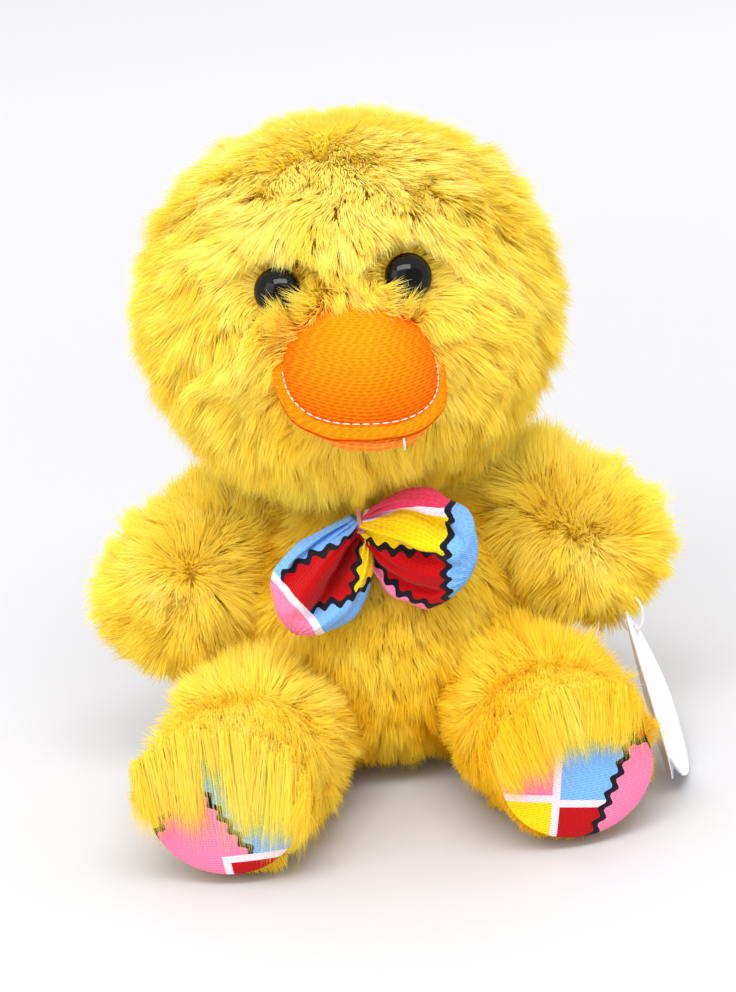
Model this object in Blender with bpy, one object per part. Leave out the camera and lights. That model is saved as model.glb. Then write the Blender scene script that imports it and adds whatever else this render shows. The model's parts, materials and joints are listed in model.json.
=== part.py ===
# A sitting plush duck, about a quarter of a metre tall, built as the real toy is sewn:
# furry skins over stuffing, a padded knit bill, safety eyes with washers, knit soles,
# a gathered bow and a folded paper swing tag.
#
# Metres, +Z up. The duck faces -Y. +X is the duck's own left.
# The origin is the centre of the flat that the torso sits on.

import math

import bmesh
import bpy
from mathutils import Matrix, Vector

# Fit between pieces
GAP = 0.0003              # clearance between pieces that touch
PILE = 0.010              # thickness of a furry skin, its backing and its pile together
SEAT_DEPTH = 0.0005       # how deep a form is cut flat where it stands on the floor
OVERRUN = 0.004           # how far a cutter runs past what it cuts

# Torso
TORSO_HEIGHT = 0.116
TORSO_WIDTH = 0.100
TORSO_DEPTH = 0.090
TORSO_TAPER_SHARE = 0.20  # how much the torso is fuller below than above
TORSO_FULL_SHARE = 0.80   # under 1 squares the form's ends, over 1 points them

# Neck: a ball on the torso, in a socket in the head
NECK_HEIGHT = 0.100
NECK_RADIUS = 0.034
NECK_PLUG_RADIUS = 0.013  # stuffing that runs up through the neck opening

# Head
HEAD_WIDTH = 0.140
HEAD_DEPTH = 0.124
HEAD_HEIGHT = 0.133
HEAD_TAPER_SHARE = 0.0
HEAD_FULL_SHARE = 1.0
HEAD_RISE = 0.064         # head's centre above the neck's
HEAD_FORWARD = 0.003      # head's centre in front of the neck's

# Wings
SHOULDER_SPREAD = 0.038   # from the middle plane
SHOULDER_HEIGHT = 0.095
SHOULDER_BACK = 0.002
SHOULDER_RADIUS = 0.011
WING_LENGTH = 0.088
WING_WIDTH = 0.059
WING_THICKNESS = 0.042
WING_ROOT = 0.016         # length of wing on the body side of the shoulder's centre
WING_TAPER_SHARE = -0.14
WING_FULL_SHARE = 0.80
HEAD_CLEARANCE = 0.0004   # between a lifted wing and the head
WING_DROOP = {1: math.radians(36), -1: math.radians(41)}
WING_FORWARD = math.radians(10)

# Legs
HIP_SPREAD = 0.037
HIP_HEIGHT = 0.032
HIP_FORWARD = 0.018
HIP_RADIUS = 0.020
LEG_LENGTH = 0.098
LEG_WIDTH = 0.065
LEG_HEIGHT = 0.056
LEG_ROOT = 0.018          # length of leg on the body side of the hip's centre
LEG_TAPER_SHARE = -0.10
LEG_FULL_SHARE = 0.62
LEG_SPLAY = {1: math.radians(16), -1: math.radians(16)}

# Soles
SOLE_WIDTH = 0.050
SOLE_HEIGHT = 0.046
SOLE_THICKNESS = 0.0022
SOLE_CROWN = 0.0012       # how far the sole's middle bulges
SOLE_CROWN_SHARE = 0.7    # how far out it has sunk by half of that
SOLE_INSET = 0.008        # from the leg's end back to the plane that the sole lies on
SOLE_LEAN = math.radians(6)       # faces upwards by this
SOLE_TURN = math.radians(7)       # and more to the front than the leg points

# Eyes
EYE_DIAMETER = 0.015
EYE_DOME = 0.0062
EYE_RIM = 0.0010          # straight edge under the dome
EYE_SPREAD = 0.0215
EYE_RISE = 0.0245         # above the head's centre
EYE_SINK = 0.0048         # how deep the dome's rim lies in the pile
SHANK_DIAMETER = 0.0036
SHANK_LENGTH = 0.0140
WASHER_DIAMETER = 0.013
WASHER_THICKNESS = 0.0016
WASHER_SEAT = 0.0030      # from the skin's inner side, which curves away under the washer

# Bill
BILL_WIDTH = 0.054
BILL_REACH = 0.033        # from the corners of the mouth to the tip
BILL_RISE = 0.0222        # upper bill's highest line above the mouth
BILL_DROP = 0.0056        # corners of the mouth below the head's centre
BILL_BASE = 0.055         # corners of the mouth in front of the head's centre
BILL_WALL = 0.0012
BILL_BRIM = 0.0028        # thickness at the brim
BILL_SIDE = 0.0018        # corners of the mouth off the head's middle, as it is sewn on
BILL_TILT = math.radians(21.2)
BILL_ROLL = math.radians(6.3)   # and how far it is sewn on askew
BILL_YAW = math.radians(4.4)
BILL_SQUARE_SHARE = 0.76  # under 1 squares the outline
BILL_ROUND_SHARE = 0.62   # under 1 fills the dome out towards its topstitch
BILL_PUFF_SHARE = 0.835    # where the padded dome ends and the flat brim begins
BILL_PUFF_RISE = 0.0038   # and how thick the bill is there
BILL_DOME_SHARES = (0.98, 0.90, 0.835, 0.815, 0.77, 0.68, 0.50, 0.26, 0.0)
BILL_FLAT_SHARE = 0.93    # flat part of its underside
BILL_LINING_SHARE = 0.96  # how near its hollow comes to the brim
LOWER_BILL_WIDTH = 0.042
LOWER_BILL_REACH = 0.0312
LOWER_BILL_THICKNESS = 0.0138
LOWER_BILL_SIDE = 0.0020
LOWER_BILL_SHARES = ((0.0, 1.0), (0.5, 0.88), (0.85, 0.5))    # its underside, outwards and depth
LOWER_BILL_EDGE_SHARE = 0.22
STITCH_RADIUS = 0.00035
STITCH_INSET = 0.0050
STITCH_START = math.radians(10)

# Bow
BOW_RISE = 0.0025         # of the gather above the neck's centre
BOW_SHIFT = -0.0035        # of the gather from the middle plane
BOW_WAIST_WIDTH = 0.008
BOW_WAIST_DEPTH = 0.012
BOW_THICKNESS = 0.014
BOW_LEAN = math.radians(12)        # lobes lean forward from the gather
LEFT_LOBE_LENGTH = 0.041
RIGHT_LOBE_LENGTH = 0.043
LOBE_LENGTH = {1: LEFT_LOBE_LENGTH, -1: RIGHT_LOBE_LENGTH}
LEFT_LOBE_WIDTH = 0.040
RIGHT_LOBE_WIDTH = 0.031
LOBE_WIDTH = {1: LEFT_LOBE_WIDTH, -1: RIGHT_LOBE_WIDTH}
LOBE_DROOP = {1: math.radians(28), -1: math.radians(50)}
LOBE_TAPER_SHARE = -0.25
LOBE_FULL_SHARE = 1.15
BOW_THREAD_RADIUS = 0.0007

# Swing tag
TAG_SIDE = 1              # the wing that it hangs from, as in the table of sides
TAG_LENGTH = 0.0594
TAG_WIDTH = 0.032
TAG_CARD = 0.0005
TAG_MARGIN = 0.0050       # from the card's top edge to its hole
TAG_HOLE_INSET = 0.0065   # from the fold to the hole
TAG_HOLE_RADIUS = 0.0020
TAG_OPENING = math.radians(12)
TAG_END_SHARE = 0.45      # width of the card's ends
TAG_CORNER_POWER = 4
TAG_FORWARD = math.radians(58)    # how far the hanging card leans forward
TAG_OUTWARD = math.radians(6)
TAG_TURN = math.radians(2)       # of the open side towards the duck's left
TAG_LENGTH_SHARE = 0.94   # where along the wing the tag is tacked on
TAG_SIDE_TURN = math.radians(120) # and how far round its section
LOOP_WIRE_RADIUS = 0.0005
LOOP_HEIGHT = 0.0145
LOOP_WIDTH = 0.008
LOOP_SINK = 0.006         # how far up into the wing's pile the loop runs

# Ranges of movement that the pieces are kept clear for
HEAD_NOD = (math.radians(-14), math.radians(2))
WING_LIFT = (0.0, math.radians(22))
LEG_LIFT = (0.0, math.radians(15))
BOW_SWIVEL = (math.radians(-8), math.radians(8))

# Faces of the round forms, as rings and sides
OUTER_FACES = (12, 24)
INNER_FACES = (8, 16)
BILL_FACES = 32
THREAD_FACES = 24
EYE_FACES = 5
TAG_FACES = 12
SWING_STEPS = 2           # how often a limb is cut free over its range

NECK = Vector((0, 0, NECK_HEIGHT))
HEAD = Vector((0, -HEAD_FORWARD, NECK_HEIGHT + HEAD_RISE))
SIDES = {1: "left", -1: "right"}


def clear_scene():
    for thing in list(bpy.data.objects):
        bpy.data.objects.remove(thing, do_unlink=True)


def material(name, color, roughness):
    made = bpy.data.materials.new(name)
    made.use_nodes = True
    shader = made.node_tree.nodes["Principled BSDF"]
    shader.inputs["Base Color"].default_value = (*color, 1)
    shader.inputs["Roughness"].default_value = roughness
    shader.inputs["Metallic"].default_value = 0
    return made


def axis_at(name, place):
    # An empty on a joint's axis, which carries the pieces that move together.
    empty = bpy.data.objects.new(name, None)
    empty.empty_display_size = PILE
    empty.location = place
    bpy.context.scene.collection.objects.link(empty)
    bpy.context.view_layer.update()
    return empty


def place(name, bm, frame, finish=None, parent=None):
    # Turns a bmesh into an object: a piece where it has a finish, otherwise a cutter.
    bmesh.ops.recalc_face_normals(bm, faces=bm.faces)
    mesh = bpy.data.meshes.new(name)
    bm.to_mesh(mesh)
    bm.free()
    mesh.shade_smooth()
    thing = bpy.data.objects.new(name, mesh)
    bpy.context.scene.collection.objects.link(thing)
    if parent is not None:
        thing.parent = parent
        thing.matrix_parent_inverse = parent.matrix_world.inverted()
    thing.matrix_world = frame
    if finish is None:
        thing.hide_render = True
        thing.display_type = "WIRE"
    else:
        mesh.materials.append(finish)
    return thing


def boolean(thing, other, operation):
    step = thing.modifiers.new(operation.lower() + " " + other.name, "BOOLEAN")
    step.operation = operation
    step.solver = "EXACT"
    step.object = other


def cut(thing, *cutters):
    for cutter in cutters:
        boolean(thing, cutter, "DIFFERENCE")


def looking(origin, direction, side):
    # A frame at origin whose Z runs along direction and whose X lies nearest to side.
    up = Vector(direction).normalized()
    across = (Vector(side) - Vector(side).dot(up) * up).normalized()
    turn = Matrix((across, up.cross(across), up)).transposed()
    return Matrix.Translation(origin) @ turn.to_4x4()


def turned_about(point, axis, angle):
    return Matrix.Translation(point) @ Matrix.Rotation(angle, 4, axis) @ Matrix.Translation(-point)


def ringed(rings):
    # A closed skin over rings of points. A ring of one point is a pole.
    bm = bmesh.new()
    made = [[bm.verts.new(point) for point in ring] for ring in rings]
    for low, high in zip(made, made[1:]):
        count = max(len(low), len(high))
        for i in range(count):
            j = (i + 1) % count
            corners = [low[i % len(low)], low[j % len(low)], high[j % len(high)], high[i % len(high)]]
            bm.faces.new(list(dict.fromkeys(corners)))
    for end in (made[0], made[-1]):
        if len(end) > 1:
            bm.faces.new(end)
    return bm


def oval(half_width, half_depth, height, sides=INNER_FACES[1]):
    ring = []
    for i in range(sides):
        turn = math.tau * i / sides
        ring.append(Vector((half_width * math.cos(turn), half_depth * math.sin(turn), height)))
    return ring


def egg(length, width, depth, taper_share=0, full_share=1, grow=0, start=0, faces=OUTER_FACES):
    # A form that swells and tapers along Z, from start. grow moves its whole skin outwards.
    rings, sides = faces
    made = []
    for i in range(rings + 1):
        turn = math.pi * i / rings
        height = start - grow + (length + 2 * grow) * (1 - math.cos(turn)) / 2
        share = math.sin(turn) ** full_share * (1 + taper_share * math.cos(turn))
        if i in (0, rings):
            made.append([Vector((0, 0, height))])
        else:
            made.append(oval((width / 2 + grow) * share, (depth / 2 + grow) * share, height, sides))
    return ringed(made)


def ball(radius, faces=OUTER_FACES):
    return egg(2 * radius, 2 * radius, 2 * radius, start=-radius, faces=faces)


def socket(radius, faces=OUTER_FACES):
    # A ball big enough that its flats clear a turning ball of this radius.
    rings, sides = faces
    return ball((radius + GAP) / (math.cos(math.pi / sides) * math.cos(math.pi / rings / 2)), faces)


def drum(radius, low, high):
    return ringed([oval(radius, radius, low), oval(radius, radius, high)])


def slab(low, high):
    bm = bmesh.new()
    bmesh.ops.create_cube(bm, size=1)
    for vert in bm.verts:
        for i in range(3):
            vert.co[i] = low[i] if vert.co[i] < 0 else high[i]
    return bm


def floor_cutter():
    reach = TORSO_HEIGHT + HEAD_HEIGHT
    return place("cutter floor", slab((-reach, -reach, -reach), (reach, reach, 0)), Matrix())


def torso_form(grow=0, faces=OUTER_FACES):
    shares = (TORSO_TAPER_SHARE, TORSO_FULL_SHARE)
    return egg(TORSO_HEIGHT, TORSO_WIDTH, TORSO_DEPTH, *shares, grow, -SEAT_DEPTH, faces)


def head_form(grow=0, faces=OUTER_FACES):
    shares = (HEAD_TAPER_SHARE, HEAD_FULL_SHARE)
    return egg(HEAD_HEIGHT, HEAD_WIDTH, HEAD_DEPTH, *shares, grow, -HEAD_HEIGHT / 2, faces)


def shoulder(side):
    return Vector((side * SHOULDER_SPREAD, SHOULDER_BACK, SHOULDER_HEIGHT))


def hip(side):
    return Vector((side * HIP_SPREAD, -HIP_FORWARD, HIP_HEIGHT))


def make_torso(finishes, floor):
    skin = place("torso_skin", torso_form(), Matrix(), finishes["fur"])
    seats = [(NECK, ball(NECK_RADIUS))]
    for side in SIDES:
        seats.append((shoulder(side), ball(SHOULDER_RADIUS, INNER_FACES)))
        seats.append((hip(side), ball(HIP_RADIUS, INNER_FACES)))
    for centre, seat in seats:
        boolean(skin, place("seat ball", seat, Matrix.Translation(centre)), "UNION")
    hollow = place("cutter torso hollow", torso_form(-PILE, INNER_FACES), Matrix())
    opening = drum(NECK_PLUG_RADIUS + GAP, 0, NECK_RADIUS + OVERRUN)
    opening = place("cutter neck opening", opening, Matrix.Translation(NECK))
    cut(skin, hollow, opening, floor)
    filling = torso_form(-PILE - GAP, INNER_FACES)
    stuffing = place("torso_stuffing", filling, Matrix(), finishes["stuffing"])
    plug_top = math.sqrt(NECK_RADIUS ** 2 - NECK_PLUG_RADIUS ** 2) - GAP
    plug = place("neck plug", drum(NECK_PLUG_RADIUS, -NECK_RADIUS, plug_top), Matrix.Translation(NECK))
    boolean(stuffing, plug, "UNION")


def make_head(finishes, neck):
    frame = Matrix.Translation(HEAD)
    skin = place("head_skin", head_form(), frame, finishes["fur"], neck)
    filling = head_form(-PILE - GAP, INNER_FACES)
    stuffing = place("head_stuffing", filling, frame, finishes["stuffing"], neck)
    hollow = place("cutter head hollow", head_form(-PILE, INNER_FACES), frame)
    seat = place("cutter neck socket", socket(NECK_RADIUS), Matrix.Translation(NECK))
    cut(skin, hollow, seat)
    cut(stuffing, seat)
    for side, word in SIDES.items():
        make_eye(finishes, neck, skin, stuffing, side, word)


def eye_frame(side):
    # The eye looks along the normal of the head where it is set. Its Z is zero on the head's skin.
    across = side * EYE_SPREAD / (HEAD_WIDTH / 2)
    upward = EYE_RISE / (HEAD_HEIGHT / 2)
    forward = math.sqrt(1 - across ** 2 - upward ** 2)
    spot = Vector((side * EYE_SPREAD, -forward * HEAD_DEPTH / 2, EYE_RISE))
    normal = Vector((across / HEAD_WIDTH, -forward / HEAD_DEPTH, upward / HEAD_HEIGHT))
    return looking(HEAD + spot, normal, (1, 0, 0))


def make_eye(finishes, neck, skin, stuffing, side, word):
    frame = eye_frame(side)
    eye_radius = EYE_DIAMETER / 2
    shank_radius = SHANK_DIAMETER / 2
    shank_end = -EYE_SINK - SHANK_LENGTH
    rings = [oval(shank_radius, shank_radius, shank_end), oval(shank_radius, shank_radius, -EYE_SINK)]
    rings.append(oval(eye_radius, eye_radius, -EYE_SINK))
    for i in range(EYE_FACES):
        turn = math.pi / 2 * i / EYE_FACES
        radius = eye_radius * math.cos(turn)
        height = EYE_RIM + (EYE_DOME - EYE_RIM) * math.sin(turn)
        rings.append(oval(radius, radius, height - EYE_SINK))
    rings.append([Vector((0, 0, EYE_DOME - EYE_SINK))])
    place("eye_" + word, ringed(rings), frame, finishes["eye"], neck)

    washer_radius = WASHER_DIAMETER / 2
    washer_top = -PILE - WASHER_SEAT
    washer_end = washer_top - WASHER_THICKNESS
    disc = drum(washer_radius, washer_end, washer_top)
    washer = place("eye_washer_" + word, disc, frame, finishes["washer"], neck)
    bore = place("cutter shank", drum(shank_radius + GAP, shank_end - GAP, OVERRUN), frame)
    pocket = place("cutter eye pocket", drum(eye_radius + GAP, -EYE_SINK - GAP, OVERRUN), frame)
    room = place("cutter washer room", drum(washer_radius + GAP, washer_end - GAP, 0), frame)
    cut(washer, bore)
    cut(skin, bore, pocket)
    cut(stuffing, bore, room)


def limb_cutters(name, pivot, radius, axis, angles):
    # What a limb is cut by: its ball seat, and torso and neck at every step of the limb's swing.
    seat = socket(radius, INNER_FACES)
    cutters = [place("cutter " + name + " socket", seat, Matrix.Translation(pivot))]
    for angle in angles:
        swing = turned_about(pivot, axis, -angle)
        cutters.append(place("cutter " + name + " torso", torso_form(GAP), swing))
        if pivot.z > NECK_HEIGHT - NECK_RADIUS:
            at_neck = swing @ Matrix.Translation(NECK)
            cutters.append(place("cutter " + name + " neck", socket(NECK_RADIUS), at_neck))
    return cutters


def swing_steps(limits):
    low, high = limits
    return [low + (high - low) * i / SWING_STEPS for i in range(SWING_STEPS + 1)]


def wing_frame(side):
    droop = WING_DROOP[side]
    outward = math.cos(droop) * math.cos(WING_FORWARD)
    forward = math.sin(WING_FORWARD)
    direction = Vector((side * outward, -forward, -math.sin(droop) * math.cos(WING_FORWARD)))
    upward = (side * math.sin(droop), 0, math.cos(droop))
    return looking(shoulder(side) - direction * WING_ROOT, direction, upward)


def wing_form(grow=0, faces=OUTER_FACES):
    shares = (WING_TAPER_SHARE, WING_FULL_SHARE)
    return egg(WING_LENGTH, WING_WIDTH, WING_THICKNESS, *shares, grow, faces=faces)


def make_wing(finishes, side, word, pivot):
    frame = wing_frame(side)
    skin = place("wing_" + word + "_skin", wing_form(), frame, finishes["fur"], pivot)
    filling = wing_form(-PILE - GAP, INNER_FACES)
    stuffing = place("wing_" + word + "_stuffing", filling, frame, finishes["stuffing"], pivot)
    angles = [-side * angle for angle in swing_steps(WING_LIFT)]
    cutters = limb_cutters("wing", shoulder(side), SHOULDER_RADIUS, "Y", angles)
    for angle in angles[::SWING_STEPS]:
        for nod in HEAD_NOD:
            swing = turned_about(shoulder(side), "Y", -angle) @ turned_about(NECK, "X", nod)
            at_head = swing @ Matrix.Translation(HEAD)
            cutters.append(place("cutter wing head", head_form(HEAD_CLEARANCE), at_head))
    cut(skin, place("cutter wing hollow", wing_form(-PILE, INNER_FACES), frame), *cutters)
    cut(stuffing, *cutters)
    return skin


def leg_frame(side):
    splay = LEG_SPLAY[side]
    direction = Vector((side * math.sin(splay), -math.cos(splay), 0))
    root = hip(side) - direction * LEG_ROOT
    root.z = LEG_HEIGHT / 2 - SEAT_DEPTH
    return looking(root, direction, (side, 0, 0))


def sole_frame(side):
    leg = leg_frame(side)
    lean = Matrix.Rotation(-side * SOLE_LEAN, 4, "X") @ Matrix.Rotation(-SOLE_TURN, 4, "Y")
    return leg @ Matrix.Translation((0, 0, LEG_LENGTH - SOLE_INSET)) @ lean


def leg_form(grow=0, faces=OUTER_FACES):
    shares = (LEG_TAPER_SHARE, LEG_FULL_SHARE)
    return egg(LEG_LENGTH, LEG_WIDTH, LEG_HEIGHT, *shares, grow, faces=faces)


def make_leg(finishes, side, word, pivot, floor):
    frame = leg_frame(side)
    skin = place("leg_" + word + "_skin", leg_form(), frame, finishes["fur"], pivot)
    filling = leg_form(-PILE - GAP, INNER_FACES)
    stuffing = place("leg_" + word + "_stuffing", filling, frame, finishes["stuffing"], pivot)
    angles = [-angle for angle in swing_steps(LEG_LIFT)]
    cutters = limb_cutters("leg", hip(side), HIP_RADIUS, "X", angles)
    front = sole_frame(side)
    beyond = slab((-LEG_LENGTH, -LEG_LENGTH, -GAP), (LEG_LENGTH, LEG_LENGTH, LEG_LENGTH))
    cutters.append(place("cutter sole plane", beyond, front))
    cut(skin, place("cutter leg hollow", leg_form(-PILE, INNER_FACES), frame), *cutters, floor)
    cut(stuffing, *cutters)
    edge = SOLE_THICKNESS - SOLE_CROWN
    rings = []
    for share, height in ((1, 0), (1, edge), (SOLE_CROWN_SHARE, edge + SOLE_CROWN / 2)):
        rings.append(oval(SOLE_WIDTH / 2 * share, SOLE_HEIGHT / 2 * share, height, OUTER_FACES[1]))
    rings.append([Vector((0, 0, SOLE_THICKNESS))])
    place("sole_" + word, ringed(rings), front, finishes["knit print"], pivot)


def bill_outline(width, reach, turn, share=1):
    # A squarish oval, as the bill is seen from above.
    across = math.copysign(abs(math.cos(turn)) ** BILL_SQUARE_SHARE, math.cos(turn))
    forward = math.copysign(abs(math.sin(turn)) ** BILL_SQUARE_SHARE, math.sin(turn))
    return width / 2 * share * across, -reach * share * forward


def bill_form(width, reach, layers):
    rings = []
    for share, height in layers:
        if share == 0:
            rings.append([Vector((0, 0, height))])
            continue
        ring = []
        for i in range(BILL_FACES):
            x, y = bill_outline(width, reach, math.tau * i / BILL_FACES, share)
            ring.append(Vector((x, y, height)))
        rings.append(ring)
    return ringed(rings)


def bill_dome(share):
    # Height of the upper bill's top over the mouth, at a share of the way out to its brim.
    if share > BILL_PUFF_SHARE:
        outward = (share - BILL_PUFF_SHARE) / (1 - BILL_PUFF_SHARE)
        return BILL_PUFF_RISE + (BILL_BRIM - BILL_PUFF_RISE) * outward
    swell = (1 - (share / BILL_PUFF_SHARE) ** 2) ** BILL_ROUND_SHARE
    return BILL_PUFF_RISE + (BILL_RISE - BILL_PUFF_RISE) * swell


def upper_bill_layers(shrink=0):
    edge = BILL_LINING_SHARE if shrink else 1
    layers = [(0, shrink), (BILL_FLAT_SHARE * edge, shrink), (edge, bill_dome(edge) / 2)]
    for share in BILL_DOME_SHARES:
        layers.append((share * edge, bill_dome(share * edge) - shrink))
    return layers


def lower_bill_layers(shrink=0):
    layers = []
    for share, depth_share in LOWER_BILL_SHARES:
        layers.append((share, shrink - LOWER_BILL_THICKNESS * depth_share))
    layers.append((1, -LOWER_BILL_THICKNESS * LOWER_BILL_EDGE_SHARE))
    layers.append((BILL_FLAT_SHARE, -GAP - shrink))
    layers.append((0, -GAP - shrink))
    return layers


def bill_frame():
    corners = HEAD + Vector((BILL_SIDE, -BILL_BASE, -BILL_DROP))
    askew = Matrix.Rotation(BILL_YAW, 4, "Z") @ Matrix.Rotation(BILL_ROLL, 4, "Y")
    return Matrix.Translation(corners) @ askew @ Matrix.Rotation(BILL_TILT, 4, "X")


def make_bill(finishes, neck):
    frame = bill_frame()
    face = place("cutter face", head_form(GAP), Matrix.Translation(HEAD))
    wall = BILL_WALL
    inner = wall + GAP
    upper = bill_form(BILL_WIDTH, BILL_REACH, upper_bill_layers())
    upper = place("bill_upper", upper, frame, finishes["bill"], neck)
    hollow = bill_form(BILL_WIDTH - 2 * wall, BILL_REACH - wall, upper_bill_layers(wall))
    cut(upper, place("cutter upper bill hollow", hollow, frame), face)
    filling = bill_form(BILL_WIDTH - 2 * inner, BILL_REACH - inner, upper_bill_layers(inner))
    cut(place("bill_upper_stuffing", filling, frame, finishes["stuffing"], neck), face)

    beside = frame @ Matrix.Translation((LOWER_BILL_SIDE, 0, 0))
    lower = bill_form(LOWER_BILL_WIDTH, LOWER_BILL_REACH, lower_bill_layers())
    lower = place("bill_lower", lower, beside, finishes["bill"], neck)
    hollow = bill_form(LOWER_BILL_WIDTH - 2 * wall, LOWER_BILL_REACH - wall, lower_bill_layers(wall))
    cut(lower, place("cutter lower bill hollow", hollow, beside), face)
    filling = bill_form(LOWER_BILL_WIDTH - 2 * inner, LOWER_BILL_REACH - inner, lower_bill_layers(inner))
    cut(place("bill_lower_stuffing", filling, beside, finishes["stuffing"], neck), face)
    make_topstitch(finishes, frame, neck)


def thread(name, points, radius, finish, frame, parent, closed=False):
    # A round thread or wire through points.
    curve = bpy.data.curves.new(name, "CURVE")
    curve.dimensions = "3D"
    curve.bevel_depth = radius
    curve.bevel_resolution = 1
    curve.use_fill_caps = True
    spline = curve.splines.new("POLY")
    spline.points.add(len(points) - 1)
    for knot, point in zip(spline.points, points):
        knot.co = (*point, 1)
    spline.use_cyclic_u = closed
    made = bpy.data.objects.new(name, curve)
    bpy.context.scene.collection.objects.link(made)
    made.parent = parent
    made.matrix_parent_inverse = parent.matrix_world.inverted()
    made.matrix_world = frame
    curve.materials.append(finish)
    return made


def make_topstitch(finishes, frame, neck):
    share = 1 - STITCH_INSET / BILL_REACH
    height = bill_dome(share)
    points = []
    for i in range(BILL_FACES + 1):
        turn = STITCH_START + (math.pi - 2 * STITCH_START) * i / BILL_FACES
        x, y = bill_outline(BILL_WIDTH, BILL_REACH, turn, share)
        points.append(Vector((x, y, height + STITCH_RADIUS + GAP)))
    thread("bill_topstitch", points, STITCH_RADIUS, finishes["white thread"], frame, neck)


def bow_centre():
    front = math.sqrt(NECK_RADIUS ** 2 - BOW_RISE ** 2)
    return Vector((BOW_SHIFT, -front - 2 * GAP - 2 * BOW_THREAD_RADIUS - BOW_WAIST_DEPTH / 2, NECK_HEIGHT + BOW_RISE))


def make_bow(finishes, pivot):
    centre = bow_centre()
    half_width = BOW_WAIST_WIDTH / 2
    half_depth = BOW_WAIST_DEPTH / 2
    waist = egg(BOW_WAIST_WIDTH, BOW_WAIST_WIDTH, BOW_WAIST_DEPTH, start=-half_width, faces=INNER_FACES)
    across = looking(centre, (1, 0, 0), (0, 0, 1))
    cloth = place("bow_cloth", waist, across, finishes["knit print"], pivot)
    for side in SIDES:
        droop = LOBE_DROOP[side]
        flat = math.cos(BOW_LEAN)
        direction = Vector((side * math.cos(droop) * flat, -math.sin(BOW_LEAN), -math.sin(droop) * flat))
        frame = looking(centre, direction, (-side * math.sin(droop), 0, math.cos(droop)))
        size = (LOBE_LENGTH[side], LOBE_WIDTH[side], BOW_THICKNESS)
        lobe = egg(*size, LOBE_TAPER_SHARE, LOBE_FULL_SHARE, faces=INNER_FACES)
        boolean(cloth, place("bow lobe", lobe, frame), "UNION")
    half_groove = BOW_THREAD_RADIUS + GAP
    groove = place("cutter bow groove", drum(BOW_WAIST_WIDTH, -half_groove, half_groove), across)
    core = []
    for height in (-half_groove - GAP, half_groove + GAP):
        core.append(oval(half_width - GAP, half_depth - GAP, height))
    cut(groove, place("cutter bow core", ringed(core), across))
    cut(cloth, groove)
    for angle in (BOW_SWIVEL[0], 0, BOW_SWIVEL[1]):
        swing = turned_about(centre, "Y", -angle)
        cut(cloth, place("cutter bow torso", torso_form(GAP), swing))
        cut(cloth, place("cutter bow neck", socket(NECK_RADIUS), swing @ Matrix.Translation(NECK)))
        for nod in (0, HEAD_NOD[1]):
            bowed = turned_about(NECK, "X", nod)
            cut(cloth, place("cutter bow head", head_form(GAP), swing @ bowed @ Matrix.Translation(HEAD)))
    reach = BOW_THREAD_RADIUS + GAP
    points = oval(half_width + reach, half_depth + reach, 0, THREAD_FACES)
    thread("bow_thread", points, BOW_THREAD_RADIUS, finishes["pink thread"], across, pivot, closed=True)


def tag_anchor():
    # The spot on the left wing's underside where the tag's loop is tacked on.
    turn = math.acos(1 - 2 * TAG_LENGTH_SHARE)
    share = math.sin(turn) ** WING_FULL_SHARE * (1 + WING_TAPER_SHARE * math.cos(turn))
    x = WING_WIDTH / 2 * share * math.cos(TAG_SIDE_TURN)
    y = WING_THICKNESS / 2 * share * math.sin(TAG_SIDE_TURN)
    return wing_frame(TAG_SIDE) @ Vector((x, y, WING_LENGTH * TAG_LENGTH_SHARE))


def tag_frame():
    # Origin at the middle of the card's hole. Z runs down the card, X across it from the fold.
    down = Vector((math.sin(TAG_OUTWARD), -math.sin(TAG_FORWARD), -math.cos(TAG_FORWARD)))
    hole = tag_anchor() + Vector((0, 0, LOOP_SINK - LOOP_HEIGHT + LOOP_WIRE_RADIUS))
    return looking(hole, down, (math.sin(TAG_TURN), math.cos(TAG_TURN), 0))


def card_ring(width, height):
    # The folded card's section: two leaves that open from the fold.
    half = TAG_OPENING / 2
    upper = Vector((math.cos(half), math.sin(half), 0))
    lower = Vector((math.cos(half), -math.sin(half), 0))
    over = Vector((-math.sin(half), math.cos(half), 0)) * TAG_CARD
    under = Vector((-math.sin(half), -math.cos(half), 0)) * TAG_CARD
    fold = Vector((-TAG_CARD, 0, 0))
    section = [width * upper, width * upper + over, over, fold]
    section += [under, width * lower + under, width * lower, Vector()]
    return [point + Vector((-TAG_HOLE_INSET, 0, height)) for point in section]


def make_tag(finishes, wing_skin, wing, pivot):
    frame = tag_frame()
    rings = []
    for i in range(TAG_FACES + 1):
        height = -math.cos(math.pi * i / TAG_FACES)
        width = TAG_WIDTH * (1 - (1 - TAG_END_SHARE) * abs(height) ** TAG_CORNER_POWER)
        rings.append(card_ring(width, TAG_LENGTH * (1 + height) / 2 - TAG_MARGIN))
    card = place("tag_card", ringed(rings), frame, finishes["card"], pivot)
    spread = TAG_HOLE_INSET * math.sin(TAG_OPENING) + 2 * TAG_CARD
    across = frame @ Matrix.Rotation(math.pi / 2, 4, "X")
    cut(card, place("cutter tag hole", drum(TAG_HOLE_RADIUS, -spread, spread), across))
    half_height = LOOP_HEIGHT / 2 - LOOP_WIRE_RADIUS
    points = []
    for point in oval(half_height, LOOP_WIDTH / 2, 0, THREAD_FACES):
        points.append(Vector((0, point.y, half_height - point.x)))
    loop_frame = looking(frame.translation, (0, 0, 1), frame.to_3x3() @ Vector((1, 0, 0)))
    pocket = drum(LOOP_WIDTH / 2 + LOOP_WIRE_RADIUS + GAP, 0, LOOP_HEIGHT - LOOP_WIRE_RADIUS + GAP)
    cut(wing_skin, place("cutter loop pocket", pocket, loop_frame))
    thread("tag_loop", points, LOOP_WIRE_RADIUS, finishes["loop"], loop_frame, wing, closed=True)


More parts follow.
